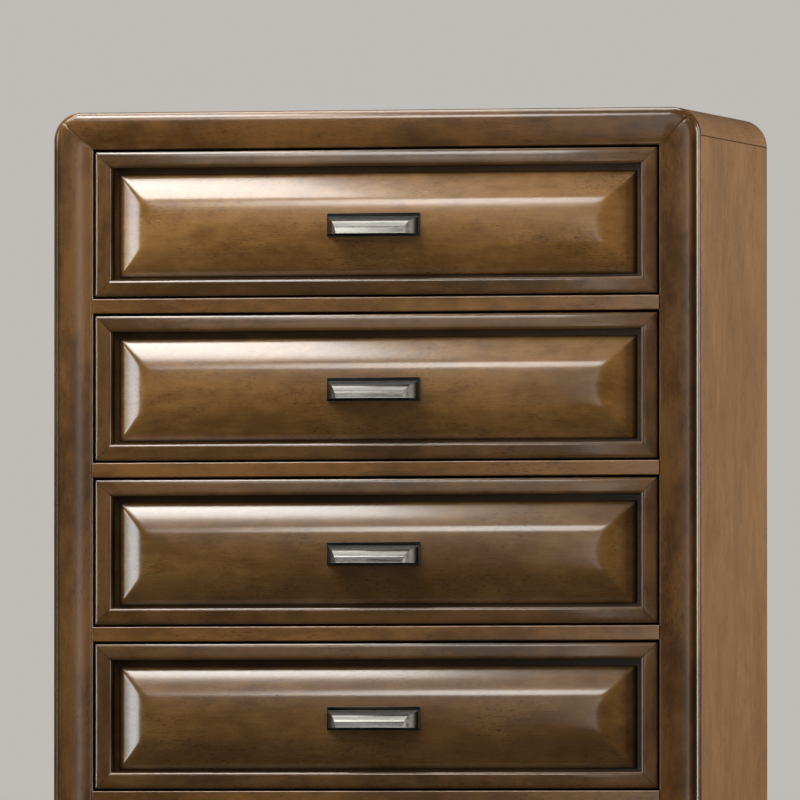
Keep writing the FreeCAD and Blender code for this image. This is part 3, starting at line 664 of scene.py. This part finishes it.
class CHEST_OT_case(bpy.types.Operator):
    """Sides, top, corner mouldings, feet and back of the case"""

    bl_idname = "chest.case"
    bl_label = "Case"

    FINISHES = {
        "side_veneer": ("left_side_panel", "right_side_panel"),
        "top_veneer": ("top_board",),
        "corner_moulding": ("left_corner_moulding", "right_corner_moulding"),
        "frame_upright": ("front_left_foot", "front_right_foot", "rear_left_foot", "rear_right_foot"),
        "back_board": ("back_panel", "bottom_panel"),
        "rough_softwood": ("back_top_rail", "back_bottom_rail", "corner_blocks"),
        "batten_softwood": ("runner_battens",),
        "glide_plastic": ("foot_glides",),
    }

    def execute(self, context):
        for name, pieces in self.FINISHES.items():
            for piece in pieces:
                ease(dress(piece, finish(name)), context.scene.chest_hardware.edge_ease)
        return {"FINISHED"}


class CHEST_OT_front_frames(bpy.types.Operator):
    """Mitred mouldings round the drawer panels"""

    bl_idname = "chest.front_frames"
    bl_label = "Drawer front mouldings"

    # Across and down from the face, in millimetres: arris, sloping face, arris, steep inner edge
    SECTION = ((0, 3.4), (0.2, 2.95), (0.6, 2.58), (1.9, 2.0), (3.2, 1.42), (3.9, 1.26), (8.5, 0.83),
               (13.0, 0.40), (16.8, 0.0), (17.5, 0.03), (18.1, 0.2), (19.0, 0.58), (19.9, 1.0),
               (20.4, 1.5), (20.7, 2.6), (21, 4.6))
    # The mitre: half its open gap, where its eased edge begins, how far that edge sinks, its glaze
    GAP = 0.00005
    EASED_FROM = 0.0009
    EASED_BY = 0.0001
    MITRE_GLAZE = 0.75
    # Painted shade on the inner edge down into the recess: past this distance across, it grows from this
    # depth over this length
    INNER_PAINTED_SHADE = 0.85
    INNER_FROM = 0.010
    INNER_SHADE_DEPTH = 0.004
    INNER_SHADE_OVER = 0.006

    def profile(self, thickness):
        """Points across a moulding from its outer to its inner edge."""
        points = [(across / 1000, depth / 1000) for across, depth in self.SECTION]
        return [(0.0, thickness)] + points + [(points[-1][0], thickness)]

    def glaze_and_shade(self, inward, depth, sunk):
        """Share of painted shade on the inner edge, or of glaze in a mitre, at a point."""
        deep = min(max((depth - self.INNER_SHADE_DEPTH) / self.INNER_SHADE_OVER, 0.0), 1.0)
        inner = deep * self.INNER_PAINTED_SHADE if inward > self.INNER_FROM else 0.0
        return max(inner, self.MITRE_GLAZE if sunk else 0.0)

    def execute(self, context):
        materials = [finish("front_level"), finish("front_upright")]
        for index in DRAWERS:
            node = f"drawer_{index}_front_frame"
            low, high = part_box(node)
            middle = (low + high) / 2
            half = (high - low) / 2
            thickness = high.y - low.y
            profile = self.profile(thickness)
            verts, faces, slots, glaze_and_shade = [], [], [], []
            for upright in (0, 1):
                length, across = (half.z, half.x) if upright else (half.x, half.z)
                stations = [(-length, 1, self.GAP, self.EASED_BY), (-length, 1, self.EASED_FROM, 0.0)]
                stations += [(length * step / 6, 0, 0, 0.0) for step in range(-4, 5)]
                stations += [(length, -1, self.EASED_FROM, 0.0), (length, -1, self.GAP, self.EASED_BY)]
                for sign in (-1, 1):
                    rows = []
                    for end, mitre, gap, sunk in stations:
                        points = []
                        for inward, depth in profile:
                            along = end + mitre * (inward + gap)
                            spot = sign * (across - inward)
                            lower = sunk if depth < thickness else 0.0
                            x, z = (spot, along) if upright else (along, spot)
                            points.append((middle.x + x, low.y + depth + lower, middle.z + z))
                            glaze_and_shade.append(self.glaze_and_shade(inward, depth, sunk))
                        rows.append(points)
                    offset = len(verts)
                    made = loft(rows)
                    verts += [point for points in rows for point in points]
                    faces += [tuple(offset + corner for corner in face) for face in made]
                    slots += [upright] * len(made)
            piece = piece_from(f"drawer_{index}_front_moulding", verts, faces, materials, slots, glaze_and_shade)
            settle(piece, f"drawer_{index}", "front_wood", node)
        return {"FINISHED"}


# Geometry Nodes
def new_tree(name, inputs):
    """A geometry tree with a mesh input and the named value inputs of each kind."""
    tree = bpy.data.node_groups.new(name, "GeometryNodeTree")
    tree.interface.new_socket("Geometry", in_out="INPUT", socket_type="NodeSocketGeometry")
    for kind, labels in inputs.items():
        for label in labels:
            tree.interface.new_socket(label, in_out="INPUT", socket_type="NodeSocket" + kind)
    tree.interface.new_socket("Geometry", in_out="OUTPUT", socket_type="NodeSocketGeometry")
    graph = Graph(tree)
    return tree, graph, graph.add("NodeGroupInput").outputs


def end_tree(graph, geometry, material):
    """Realize, set the material and send the geometry out."""
    real = graph.made("RealizeInstances", {"Geometry": geometry})
    painted = graph.made("SetMaterial", {"Geometry": real, "Material": material})
    graph.add("NodeGroupOutput", {0: painted})


def grown(name, tree, values, points=((0.0, 0.0, 0.0),)):
    """Run a tree on some points and keep the result as a plain mesh object."""
    seed = bpy.data.meshes.new(name + "_points")
    seed.from_pydata(points, [], [])
    carrier = in_scene(name + "_grower", seed)
    modifier = carrier.modifiers.new("Grow", "NODES")
    modifier.node_group = tree
    for item in tree.interface.items_tree:
        if item.in_out == "INPUT" and item.name in values:
            modifier[item.identifier] = values[item.name]
    carrier.update_tag()
    mesh = finished_mesh(carrier)
    mesh.name = name
    work = bmesh.new()
    work.from_mesh(mesh)
    bmesh.ops.recalc_face_normals(work, faces=work.faces)
    work.to_mesh(mesh)
    work.free()
    bpy.data.objects.remove(carrier)
    bpy.data.meshes.remove(seed)
    return in_scene(name, mesh)


CURVE_STEPS = 40


def slope_curve(node, tilts, length):
    """Load a Float Curve with the height of a slope whose tilt changes evenly between stations."""
    heights, total = [0.0], 0.0
    for step in range(CURVE_STEPS):
        place = (step + 0.5) / CURVE_STEPS * length
        for (start, tilt), (end, after) in zip(tilts, tilts[1:]):
            if start <= place <= end:
                share = (place - start) / (end - start)
                total += math.tan(tilt + (after - tilt) * share) * length / CURVE_STEPS
        heights.append(total)
    curve = node.mapping.curves[0]
    while len(curve.points) < CURVE_STEPS + 1:
        curve.points.new(0.5, 0.5)
    for step, height in enumerate(heights):
        curve.points[step].location = (step / CURVE_STEPS, height / total)
        curve.points[step].handle_type = "AUTO_CLAMPED"
    node.mapping.update()


# Share of the end run and tilt there in degrees, from a panel's end inwards
END_TILTS = ((0.0, 28), (0.54, 22), (0.80, 6), (1.0, 2))
PAST_END_SLOPE = 0.03
# Distances between which the painted shade at a panel's foot and ends fades, and its shares there; the
# last is the painted shade of the recess floor behind the panel
FOOT_PAINTED_SHADE = (0.0, 0.003, 0.95, 0.0)
END_PAINTED_SHADE = (0.002, 0.0075, 0.85, 0.0)
FLOOR_PAINTED_SHADE = 0.72


def pillow_tree(settings, half_height):
    """Tree of a pillow panel: bevels rise to a crowned field and meet in rounded hips."""
    tree, graph, value = new_tree("pillow_panel", {
        "Float": ("Half Width", "Half Height", "Rise", "End Run", "Hip Round", "Step", "Deep"),
        "Int": ("Columns", "Rows"), "Vector": ("Board Size", "Board Place", "Place"),
        "Material": ("Material",)})
    grid = graph.made("MeshGrid", {
        "Size X": graph.times(value["Half Width"], 2.0), "Size Y": graph.times(value["Half Height"], 2.0),
        "Vertices X": value["Columns"], "Vertices Y": value["Rows"]})
    x, y = graph.axes(graph.made("InputPosition"))[:2]
    from_end = graph.minus(value["Half Width"], graph.math("ABSOLUTE", x))
    from_side = graph.minus(value["Half Height"], graph.math("ABSOLUTE", y))
    side_curve = graph.add("ShaderNodeFloatCurve", {
        "Value": graph.math("DIVIDE", from_side, value["Half Height"])})
    bevel_end = settings.bevel_run
    slope_curve(side_curve, [
        (0.0, settings.edge_tilt), (bevel_end, settings.ridge_tilt),
        (bevel_end + settings.ridge_run, settings.field_tilt), (half_height, 0.0)], half_height)
    end_curve = graph.add("ShaderNodeFloatCurve", {
        "Value": graph.math("MINIMUM", graph.math("DIVIDE", from_end, value["End Run"]), 1.0)})
    run = settings.end_run
    slope_curve(end_curve, [(share * run, math.radians(tilt)) for share, tilt in END_TILTS], run)
    past_end = graph.math("MAXIMUM", graph.minus(from_end, value["End Run"]), 0.0)
    end_height = graph.math("ADD", graph.times(end_curve.outputs[0], value["Rise"]),
                            graph.times(past_end, PAST_END_SLOPE))
    side_height = graph.times(side_curve.outputs[0], value["Rise"])
    hipped = graph.math("SMOOTH_MIN", side_height, end_height, value["Hip Round"])
    raised = graph.made("SetPosition", {
        "Geometry": grid, "Position": graph.join(x, y, graph.math("MAXIMUM", hipped, 0.0))})
    nearest = graph.math("MINIMUM", from_end, from_side)
    # Painted shade at the panel's foot and ends, where the recess and the moulding's shadow fall
    foot = graph.math("MAXIMUM", graph.ramp(nearest, *FOOT_PAINTED_SHADE), graph.ramp(from_end, *END_PAINTED_SHADE))
    shadowed = graph.store(raised, "glaze_and_shade", foot)
    rim = graph.math("COMPARE", graph.made("InputMeshEdgeNeighbors"), 1.0, 0.1)
    drop = graph.join(0.0, 0.0, graph.times(value["Step"], -1.0))
    skirt = graph.add("GeometryNodeExtrudeMesh", {
        "Mesh": shadowed, "Selection": rim, "Offset": drop, "Offset Scale": 1.0}, mode="EDGES").outputs
    outline = graph.made("MeshToCurve", {"Mesh": skirt["Mesh"], "Selection": skirt["Top"]})
    base = graph.made("FillCurve", {"Curve": outline}, mode="NGONS")
    lowered = graph.made("Transform", {"Geometry": base, "Translation": drop})
    closed = graph.made("MergeByDistance", {
        "Geometry": graph.joined(skirt["Mesh"], lowered), "Distance": 1e-5})
    board = graph.made("Transform", {
        "Geometry": graph.made("MeshCube", {"Size": value["Board Size"]}),
        "Translation": value["Board Place"]})
    # The board behind the panel is the recess floor, darkened with painted shade
    both = graph.joined(closed, graph.store(board, "glaze_and_shade", FLOOR_PAINTED_SHADE))
    upright = graph.made("Transform", {
        "Geometry": graph.store(both, "deep", value["Deep"]),
        "Rotation": (math.pi / 2, 0.0, 0.0), "Translation": value["Place"]})
    smooth = graph.made("SetShadeSmooth", {"Geometry": upright, "Shade Smooth": True}, domain="FACE")
    gentle = graph.math("LESS_THAN", graph.made("InputMeshEdgeAngle"), CRISP_ANGLE)
    crisp = graph.made("SetShadeSmooth", {"Geometry": smooth, "Shade Smooth": gentle}, domain="EDGE")
    end_tree(graph, crisp, value["Material"])
    return tree


HEAD_SIDES = 14


def fastener_tree():
    """Tree of round heads, each with a cross of thin dark bars on top as the painted shade of a recess,
    one at each point.
    """
    tree, graph, value = new_tree("fasteners", {
        "Float": ("Radius", "Height"), "Vector": ("Facing",), "Material": ("Material",)})
    radius, height = value["Radius"], value["Height"]

    def lifted(part, share):
        up = graph.join(0.0, 0.0, graph.times(height, share))
        return graph.made("Transform", {"Geometry": part, "Translation": up})

    rim = graph.made("MeshCylinder", {
        "Vertices": HEAD_SIDES, "Radius": radius, "Depth": graph.times(height, 1.2)})
    crown = graph.made("MeshCone", {
        "Vertices": HEAD_SIDES, "Radius Bottom": radius, "Radius Top": graph.times(radius, 0.62),
        "Depth": graph.times(height, 0.4)})
    parts = [rim, lifted(crown, 0.6)]
    long, slim = graph.times(radius, 0.95), graph.times(radius, 0.22)
    for width, depth in ((long, slim), (slim, long)):
        bar = graph.made("MeshCube", {"Size": graph.join(width, depth, graph.times(height, 0.06))})
        # Thin bars on the head, painted dark as the shade of a crossed recess
        parts.append(graph.store(lifted(bar, 0.99), "recess", 1.0))
    x = graph.axes(graph.made("InputPosition"))[0]
    across, along, up = graph.axes(value["Facing"])
    way = graph.join(graph.times(across, graph.math("SIGN", x)), along, up)
    turn = graph.add("FunctionNodeAlignRotationToVector", {"Vector": way}, axis="Z")
    heads = graph.made("InstanceOnPoints", {
        "Points": value["Geometry"], "Instance": graph.joined(*parts), "Rotation": turn.outputs[0]})
    end_tree(graph, heads, value["Material"])
    return tree


def ball_tree():
    """Tree of balls, one at each point."""
    tree, graph, value = new_tree("balls", {"Float": ("Radius",), "Material": ("Material",)})
    ball = graph.made("MeshUVSphere", {"Segments": 10, "Rings": 6, "Radius": value["Radius"]})
    smooth = graph.made("SetShadeSmooth", {"Geometry": ball, "Shade Smooth": True}, domain="FACE")
    balls = graph.made("InstanceOnPoints", {"Points": value["Geometry"], "Instance": smooth})
    end_tree(graph, balls, value["Material"])
    return tree


class CHEST_OT_raised_panels(bpy.types.Operator):
    """Pillow panels of the drawer fronts"""

    bl_idname = "chest.raised_panels"
    bl_label = "Drawer panels"

    HALF_WIDTH = 0.341
    HALF_HEIGHT = 0.066
    LOWERED = 0.002
    FLOOR_BACK = 0.010
    STEP = 0.0015
    SUNK = 0.002
    # Share by which each drawer's panel, from the top, is darker than the palest
    DEEPER = (0.0, 0.12, 0.36, 0.36, 0.22)

    def execute(self, context):
        settings = context.scene.chest_panels
        tree = pillow_tree(settings, self.HALF_HEIGHT)
        for index in DRAWERS:
            node = f"drawer_{index}_raised_panel"
            low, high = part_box(node)
            middle = (low + high) / 2
            floor = high.y - self.FLOOR_BACK
            piece = grown(f"drawer_{index}_pillow_panel", tree, {
                "Half Width": self.HALF_WIDTH, "Half Height": self.HALF_HEIGHT,
                "Rise": floor - self.STEP - low.y, "End Run": settings.end_run,
                "Hip Round": settings.hip_round, "Step": self.STEP + self.SUNK,
                "Columns": settings.columns, "Rows": settings.rows,
                "Board Size": (high.x - low.x, high.z - low.z, self.FLOOR_BACK),
                "Board Place": (0.0, self.LOWERED, -self.STEP - self.FLOOR_BACK / 2),
                "Place": (middle.x, floor - self.STEP, middle.z - self.LOWERED),
                "Deep": self.DEEPER[index - 1], "Material": finish("panel_veneer")})
            settle(piece, f"drawer_{index}", "front_wood", node)
        return {"FINISHED"}


class CHEST_OT_pulls(bpy.types.Operator):
    """Hooded metal pulls with a rounded shoulder"""

    bl_idname = "chest.pulls"
    bl_label = "Pulls"

    PLATE = 0.0025
    HALF_PLATE = (0.061, 0.015)
    WALL = 0.0022
    # How far the hollow's roof lies behind and below the hood's face, and ends above its foot
    ROOF = (0.0016, 0.0018)
    ROOF_END = 0.002
    # How far the foot lies below the face, the hollow cuts past the foot, and it overlaps the plate
    LIP = 0.0003
    CUT = 0.004
    OVERLAP = 0.0005
    # Distance from the plate's back at which the hood begins
    ROOT = 0.001
    HOOD_TOP = 0.010
    HALF_BASE = 0.0595
    HALF_TIP = 0.043
    REACH = 0.0293
    FLANK = 1.45
    EDGE = 0.0005
    # Drop in millimetres below the hood's top, and lean of the surface there in degrees
    LEANS = ((0, 72), (4.6, 72), (6.2, 46), (13.4, 32), (14.8, 21.5), (21.3, 20.5), (22.0, 1))
    STEPS = 6

    def face(self):
        """Reach and height of points down the hood's outer face."""
        points, reach, height = [(self.PLATE, self.HOOD_TOP)], self.PLATE, self.HOOD_TOP
        for (start, lean), (end, after) in zip(self.LEANS, self.LEANS[1:]):
            fall = (end - start) / (1000 * self.STEPS)
            for step in range(self.STEPS):
                share = (step + 0.5) / self.STEPS
                reach += fall * math.tan(math.radians(lean + (after - lean) * share))
                height -= fall
                points.append((reach, height))
        return points

    def prism(self, name, upper, foot, inset):
        """Solid from a level foot up to the given points, its flanks curving in towards the lip."""
        section = upper + [(reach, foot) for reach, height in reversed(upper)]
        rows = []
        for side in (-1, 1):
            row = []
            for reach, height in section:
                share = max(reach - self.PLATE, 0.0) / (self.REACH - self.PLATE)
                half = self.HALF_BASE - inset - (self.HALF_BASE - self.HALF_TIP) * share ** self.FLANK
                row.append((side * half, -reach, height))
            rows.append(row)
        faces = loft(rows, closed_ends=False)
        count = len(section)
        for corner in (0, count):
            for step in range(len(upper) - 1):
                far = count - 1 - step
                faces.append((corner + step, corner + step + 1, corner + far - 1, corner + far))
        return piece_from(name, rows[0] + rows[1], faces, [finish("pull_nickel")])

    def casting(self):
        """Mesh of one pull: hollow hood on a flat plate, with eased edges."""
        face = self.face()
        foot = face[-1][1] - self.LIP
        hood = self.prism("hood", [(self.ROOT, self.HOOD_TOP)] + face, foot, 0.0)
        behind, below = self.ROOF
        inner = [(reach - behind, height - below) for reach, height in face
                 if height > foot + self.ROOF_END]
        inner = [point for point in inner if point[0] > self.PLATE + self.OVERLAP]
        inner = [(self.PLATE - self.OVERLAP, self.HOOD_TOP - self.WALL)] + inner
        hollow = self.prism("hollow", inner, foot - self.CUT, self.WALL)
        wide, tall = self.HALF_PLATE
        rows = [[(side * wide, 0.0, -tall), (side * wide, -self.PLATE, -tall),
                 (side * wide, -self.PLATE, tall), (side * wide, 0.0, tall)] for side in (-1, 1)]
        plate = piece_from("plate", rows[0] + rows[1], loft(rows), [finish("pull_nickel")])
        for tool, operation in ((hollow, "DIFFERENCE"), (plate, "UNION")):
            step = hood.modifiers.new(tool.name, "BOOLEAN")
            step.operation = operation
            step.object = tool
        ease(hood, self.EDGE)
        mesh = finished_mesh(hood)
        for tool in (hood, hollow, plate):
            bpy.data.objects.remove(tool)
        return mesh

    def execute(self, context):
        casting = self.casting()
        for index in DRAWERS:
            node = f"drawer_{index}_pull"
            low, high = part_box(node)
            mesh = casting.copy()
            mesh.transform(Matrix.Translation(((low.x + high.x) / 2, high.y, (low.z + high.z) / 2)))
            piece = in_scene(f"drawer_{index}_hooded_pull", mesh)
            settle(piece, f"drawer_{index}", "pull_metal", node)
        bpy.data.meshes.remove(casting)
        return {"FINISHED"}


class CHEST_OT_drawer_boxes(bpy.types.Operator):
    """Bare wood drawer boxes"""

    bl_idname = "chest.drawer_boxes"
    bl_label = "Drawer boxes"

    def execute(self, context):
        edge = context.scene.chest_hardware.edge_ease
        for index in DRAWERS:
            # The walls touch each other, so their edges stay as they are
            dress(f"drawer_{index}_box_walls", finish("box_side"))
            ease(dress(f"drawer_{index}_box_bottom", finish("box_ply")), edge)
        return {"FINISHED"}


class CHEST_OT_slides(bpy.types.Operator):
    """Steel slides and their ball cages"""

    bl_idname = "chest.slides"
    bl_label = "Slides"

    def execute(self, context):
        ease(dress("slide_channels", finish("zinc_steel")), THIN_EASE)
        for index in DRAWERS:
            ease(dress(f"drawer_{index}_slide_rails", finish("zinc_steel")), THIN_EASE)
            ease(dress(f"drawer_{index}_ball_cages", finish("cage_plastic")), THIN_EASE)
        return {"FINISHED"}


class CHEST_OT_fasteners(bpy.types.Operator):
    """Nails of the back, screws of the slides and pulls, and the slides' balls"""

    bl_idname = "chest.fasteners"
    bl_label = "Screws, nails and balls"

    NAIL_EDGE = 0.0095
    NAILS_ACROSS = 9
    NAILS_UP = 12
    CHANNEL_STEEL = 0.0012
    SCREW_PLACES = (0.035, 0.165, 0.305)
    RAIL_SCREW_SHIFT = 0.02
    PULL_SCREW_SPACING = 0.096
    PULL_SCREW_SCALE = 1.2
    FRONT_WALL = 0.012
    # Height of each kind of head
    NAIL_HEAD = 0.0007
    RAIL_HEAD = 0.0016
    PULL_HEAD = 0.0020
    CHANNEL_HEAD = 0.0004
    BALLS = 9
    BALL_INSET = 0.0048
    BALL_DROP = 0.00235

    def screws(self, name, body, slot, tree, points, facing, height, radius):
        """Heads at the given points, facing one way or, across the chest, away from the middle."""
        piece = grown(name, tree, {"Radius": radius, "Height": height, "Facing": facing,
                                   "Material": finish("screw_steel")}, points)
        settle(piece, body, slot)

    def nails(self, tree, radius):
        """Nails round the edge of the back panel."""
        low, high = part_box("back_panel")
        left, right = low.x + self.NAIL_EDGE, high.x - self.NAIL_EDGE
        bottom, top = low.z + self.NAIL_EDGE, high.z - self.NAIL_EDGE
        points = []
        for step in range(self.NAILS_ACROSS):
            x = left + (right - left) * step / (self.NAILS_ACROSS - 1)
            points += [(x, high.y, bottom), (x, high.y, top)]
        for step in range(1, self.NAILS_UP):
            z = bottom + (top - bottom) * step / self.NAILS_UP
            points += [(left, high.y, z), (right, high.y, z)]
        self.screws("back_nails", "case", "slide_steel", tree, points, (0, 1, 0), self.NAIL_HEAD, radius)

    def execute(self, context):
        hardware = context.scene.chest_hardware
        radius = hardware.screw_radius
        tree, balls = fastener_tree(), ball_tree()
        self.nails(tree, hardware.nail_radius)
        channel_low, channel_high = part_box("slide_channels")
        web = channel_high.x - self.CHANNEL_STEEL
        on_case = []
        for index in DRAWERS:
            rail_low, rail_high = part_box(f"drawer_{index}_slide_rails")
            wall_low, wall_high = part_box(f"drawer_{index}_box_walls")
            cage_low, cage_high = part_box(f"drawer_{index}_ball_cages")
            pull_low, pull_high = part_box(f"drawer_{index}_pull")
            level = (rail_low.z + rail_high.z) / 2
            rail_web = wall_high.x + self.CHANNEL_STEEL
            on_drawer = []
            for along in self.SCREW_PLACES:
                y = channel_low.y + along
                on_case += [(-web, y, level), (web, y, level)]
                y += self.RAIL_SCREW_SHIFT
                on_drawer += [(-rail_web, y, level), (rail_web, y, level)]
            self.screws(f"drawer_{index}_rail_screws", f"drawer_{index}", "slide_steel", tree,
                        on_drawer, (1, 0, 0), self.RAIL_HEAD, radius)
            half = self.PULL_SCREW_SPACING / 2
            inside = wall_low.y + self.FRONT_WALL
            middle = (pull_low.z + pull_high.z) / 2
            self.screws(f"drawer_{index}_pull_screws", f"drawer_{index}", "pull_metal", tree,
                        [(-half, inside, middle), (half, inside, middle)],
                        (0, 1, 0), self.PULL_HEAD, radius * self.PULL_SCREW_SCALE)
            points = []
            across = cage_high.x - self.BALL_INSET
            levels = (cage_low.z + self.BALL_DROP, cage_high.z - self.BALL_DROP)
            for step in range(self.BALLS):
                y = cage_low.y + (cage_high.y - cage_low.y) * (step + 0.5) / self.BALLS
                points += [(x, y, z) for x in (-across, across) for z in levels]
            piece = grown(f"drawer_{index}_balls", balls, {
                "Radius": hardware.ball_radius, "Material": finish("screw_steel")}, points)
            settle(piece, f"drawer_{index}_cages", "slide_steel")
        self.screws("channel_screws", "case", "slide_steel", tree, on_case, (-1, 0, 0),
                    self.CHANNEL_HEAD, radius)
        return {"FINISHED"}


class CHEST_OT_stage(bpy.types.Operator):
    """Plain floor, soft lights and the camera"""

    bl_idname = "chest.stage"
    bl_label = "Stage"

    CAMERA_PLACE = (5.2755, -22.45906, 0.2441)
    # Degrees upwards and to the left
    CAMERA_PITCH = 1.561
    CAMERA_YAW = 13.247
    FLOOR_RADIUS = 16.0
    # Distances from the middle between which the floor fades into the backdrop
    HAZE = (0.9, 3.2)
    WARM = (1.0, 0.94, 0.86)
    WHITE = (1.0, 0.97, 0.94)
    COOL = (0.90, 0.97, 1.0)
    # Name, place, aim, width and height, radiance and colour of each soft light
    LIGHTS = (
        ("key", (-0.69, -1.235, 2.31), (-0.69, -1.235, 0), (0.52, 0.71), 15.2, WHITE),
        ("ridge", (-0.95, -4.26, 3.05), (0.12, -0.2, 1.15), (0.54, 1.25), 14.0, WHITE),
        ("fill", (-1.45, -1.35, 2.75), (0, -0.2, 0.9), (1.1, 1.1), 5.4, WARM),
        ("overhead", (-0.5, 0.0, 3.6), (-0.5, 0.0, 0), (2.4, 0.9), 7.5, WHITE),
        ("left", (-2.5, -1.3, 0.8), (-0.34, -0.2, 0.8), (0.30, 2.2), 10.2, COOL),
        ("right", (3.2, -0.75, 1.2), (0, -0.75, 1.2), (0.9, 2.4), 9.5, WARM),
        ("side", (2.7, 1.7, 1.5), (0.43, 0.1, 0.8), (1.4, 1.8), 7.6, WARM),
        ("crown", (-0.26, -0.64, 2.6), (-0.26, -0.64, 0), (0.95, 0.44), 4.6, WHITE),
        ("front", (-0.95, -5.2, 2.4), (-0.95, 0, 2.4), (1.0, 2.0), 0.45, WHITE),
        ("stile", (-0.40, -4.2, 0.75), (-0.40, 0, 0.75), (0.2, 1.7), 3.0, WHITE),
        ("hip", (1.50, -3.7, 3.5), (0, -0.2, 0.95), (0.4, 0.4), 15.0, WHITE),
    )

    def softbox(self, name, place, aim, size, radiance, colour):
        """Area light of the given radiance, facing the aim."""
        lamp = bpy.data.lights.new(name, "AREA")
        lamp.shape = "RECTANGLE"
        lamp.size, lamp.size_y = size
        lamp.energy = radiance * math.pi * size[0] * size[1]
        lamp.color = colour
        made = in_scene(name, lamp)
        made.location = place
        made.rotation_euler = (Vector(aim) - Vector(place)).to_track_quat("-Z", "Y").to_euler()
        made.visible_camera = False

    def floor(self, settings):
        """Round floor that fades into the backdrop, and is darker in bounced light."""
        work = bmesh.new()
        bmesh.ops.create_circle(work, cap_ends=True, segments=96, radius=self.FLOOR_RADIUS)
        mesh = bpy.data.meshes.new("floor")
        work.to_mesh(mesh)
        work.free()
        floor = in_scene("floor", mesh)
        material, graph, shader = new_material("floor_paint")
        place = graph.place()
        cloud = graph.ramp(graph.noise(place, (1.5, 1.5, 1.5), 3), 0.3, 0.7, 0.97, 1.03)
        graph.fill(shader, {
            "Base Color": graph.tinted(settings.floor_colour, cloud),
            "Roughness": 0.7, "Specular IOR Level": 0.2})
        distance = graph.add("ShaderNodeVectorMath", {0: place}, operation="LENGTH").outputs["Value"]
        haze = graph.add("ShaderNodeEmission", {"Color": settings.backdrop})
        far = graph.add("ShaderNodeMixShader", {
            0: graph.ramp(distance, *self.HAZE), 1: shader.outputs[0], 2: haze.outputs[0]})
        shade = graph.add("ShaderNodeBsdfDiffuse", {"Color": settings.floor_shade})
        seen = graph.add("ShaderNodeMixShader", {
            0: graph.add("ShaderNodeLightPath").outputs["Is Camera Ray"],
            1: shade.outputs[0], 2: far.outputs[0]})
        graph.fill(material.node_tree.nodes["Material Output"], {"Surface": seen.outputs[0]})
        mesh.materials.append(material)

    def world(self, settings):
        """Backdrop as the camera sees it, and a fainter light from all round."""
        world = bpy.data.worlds.new("studio")
        world.use_nodes = True
        world.node_tree.nodes.clear()
        graph = Graph(world.node_tree)
        seen = graph.add("ShaderNodeLightPath").outputs["Is Camera Ray"]
        backdrop = graph.add("ShaderNodeBackground", {
            "Color": settings.backdrop, "Strength": graph.math("MAXIMUM", seen, settings.ambient)})
        graph.add("ShaderNodeOutputWorld", {0: backdrop.outputs[0]})
        bpy.context.scene.world = world

    def execute(self, context):
        settings = context.scene.chest_stage
        context.scene.view_settings.view_transform = "Standard"
        self.floor(settings)
        self.world(settings)
        for light in self.LIGHTS:
            self.softbox(*light)
        lens = bpy.data.cameras.new("camera")
        lens.lens = settings.lens
        lens.sensor_width = 36.0
        lens.clip_end = 100.0
        camera = in_scene("camera", lens)
        camera.location = self.CAMERA_PLACE
        camera.rotation_euler = (math.radians(90 + self.CAMERA_PITCH), 0.0,
                                 math.radians(self.CAMERA_YAW))
        context.scene.camera = camera
        return {"FINISHED"}


class VIEW3D_PT_chest(bpy.types.Panel):
    """Lists the steps that dress the chest"""

    bl_label = "Chest of drawers"
    bl_idname = "VIEW3D_PT_chest"
    bl_space_type = "VIEW_3D"
    bl_region_type = "UI"
    bl_category = "Chest"

    def draw(self, context):
        for step in STEPS:
            self.layout.operator(step.bl_idname)


SETTINGS = {
    "chest_wood": ChestWoodSettings,
    "chest_panels": ChestPanelSettings,
    "chest_hardware": ChestHardwareSettings,
    "chest_stage": ChestStageSettings,
}
STEPS = (
    CHEST_OT_stage,
    CHEST_OT_case,
    CHEST_OT_face_frame,
    CHEST_OT_front_frames,
    CHEST_OT_raised_panels,
    CHEST_OT_pulls,
    CHEST_OT_drawer_boxes,
    CHEST_OT_slides,
    CHEST_OT_fasteners,
)
CLASSES = (*SETTINGS.values(), *STEPS, VIEW3D_PT_chest)


def register():
    for group in CLASSES:
        bpy.utils.register_class(group)
    for name, group in SETTINGS.items():
        setattr(bpy.types.Scene, name, PointerProperty(type=group))


def unregister():
    for name in SETTINGS:
        delattr(bpy.types.Scene, name)
    for group in reversed(CLASSES):
        bpy.utils.unregister_class(group)


def main():
    register()
    bpy.ops.chest.stage()
    bpy.ops.chest.case()
    bpy.ops.chest.face_frame()
    bpy.ops.chest.front_frames()
    bpy.ops.chest.raised_panels()
    bpy.ops.chest.pulls()
    bpy.ops.chest.drawer_boxes()
    bpy.ops.chest.slides()
    bpy.ops.chest.fasteners()


if __name__ == "__main__":
    main()
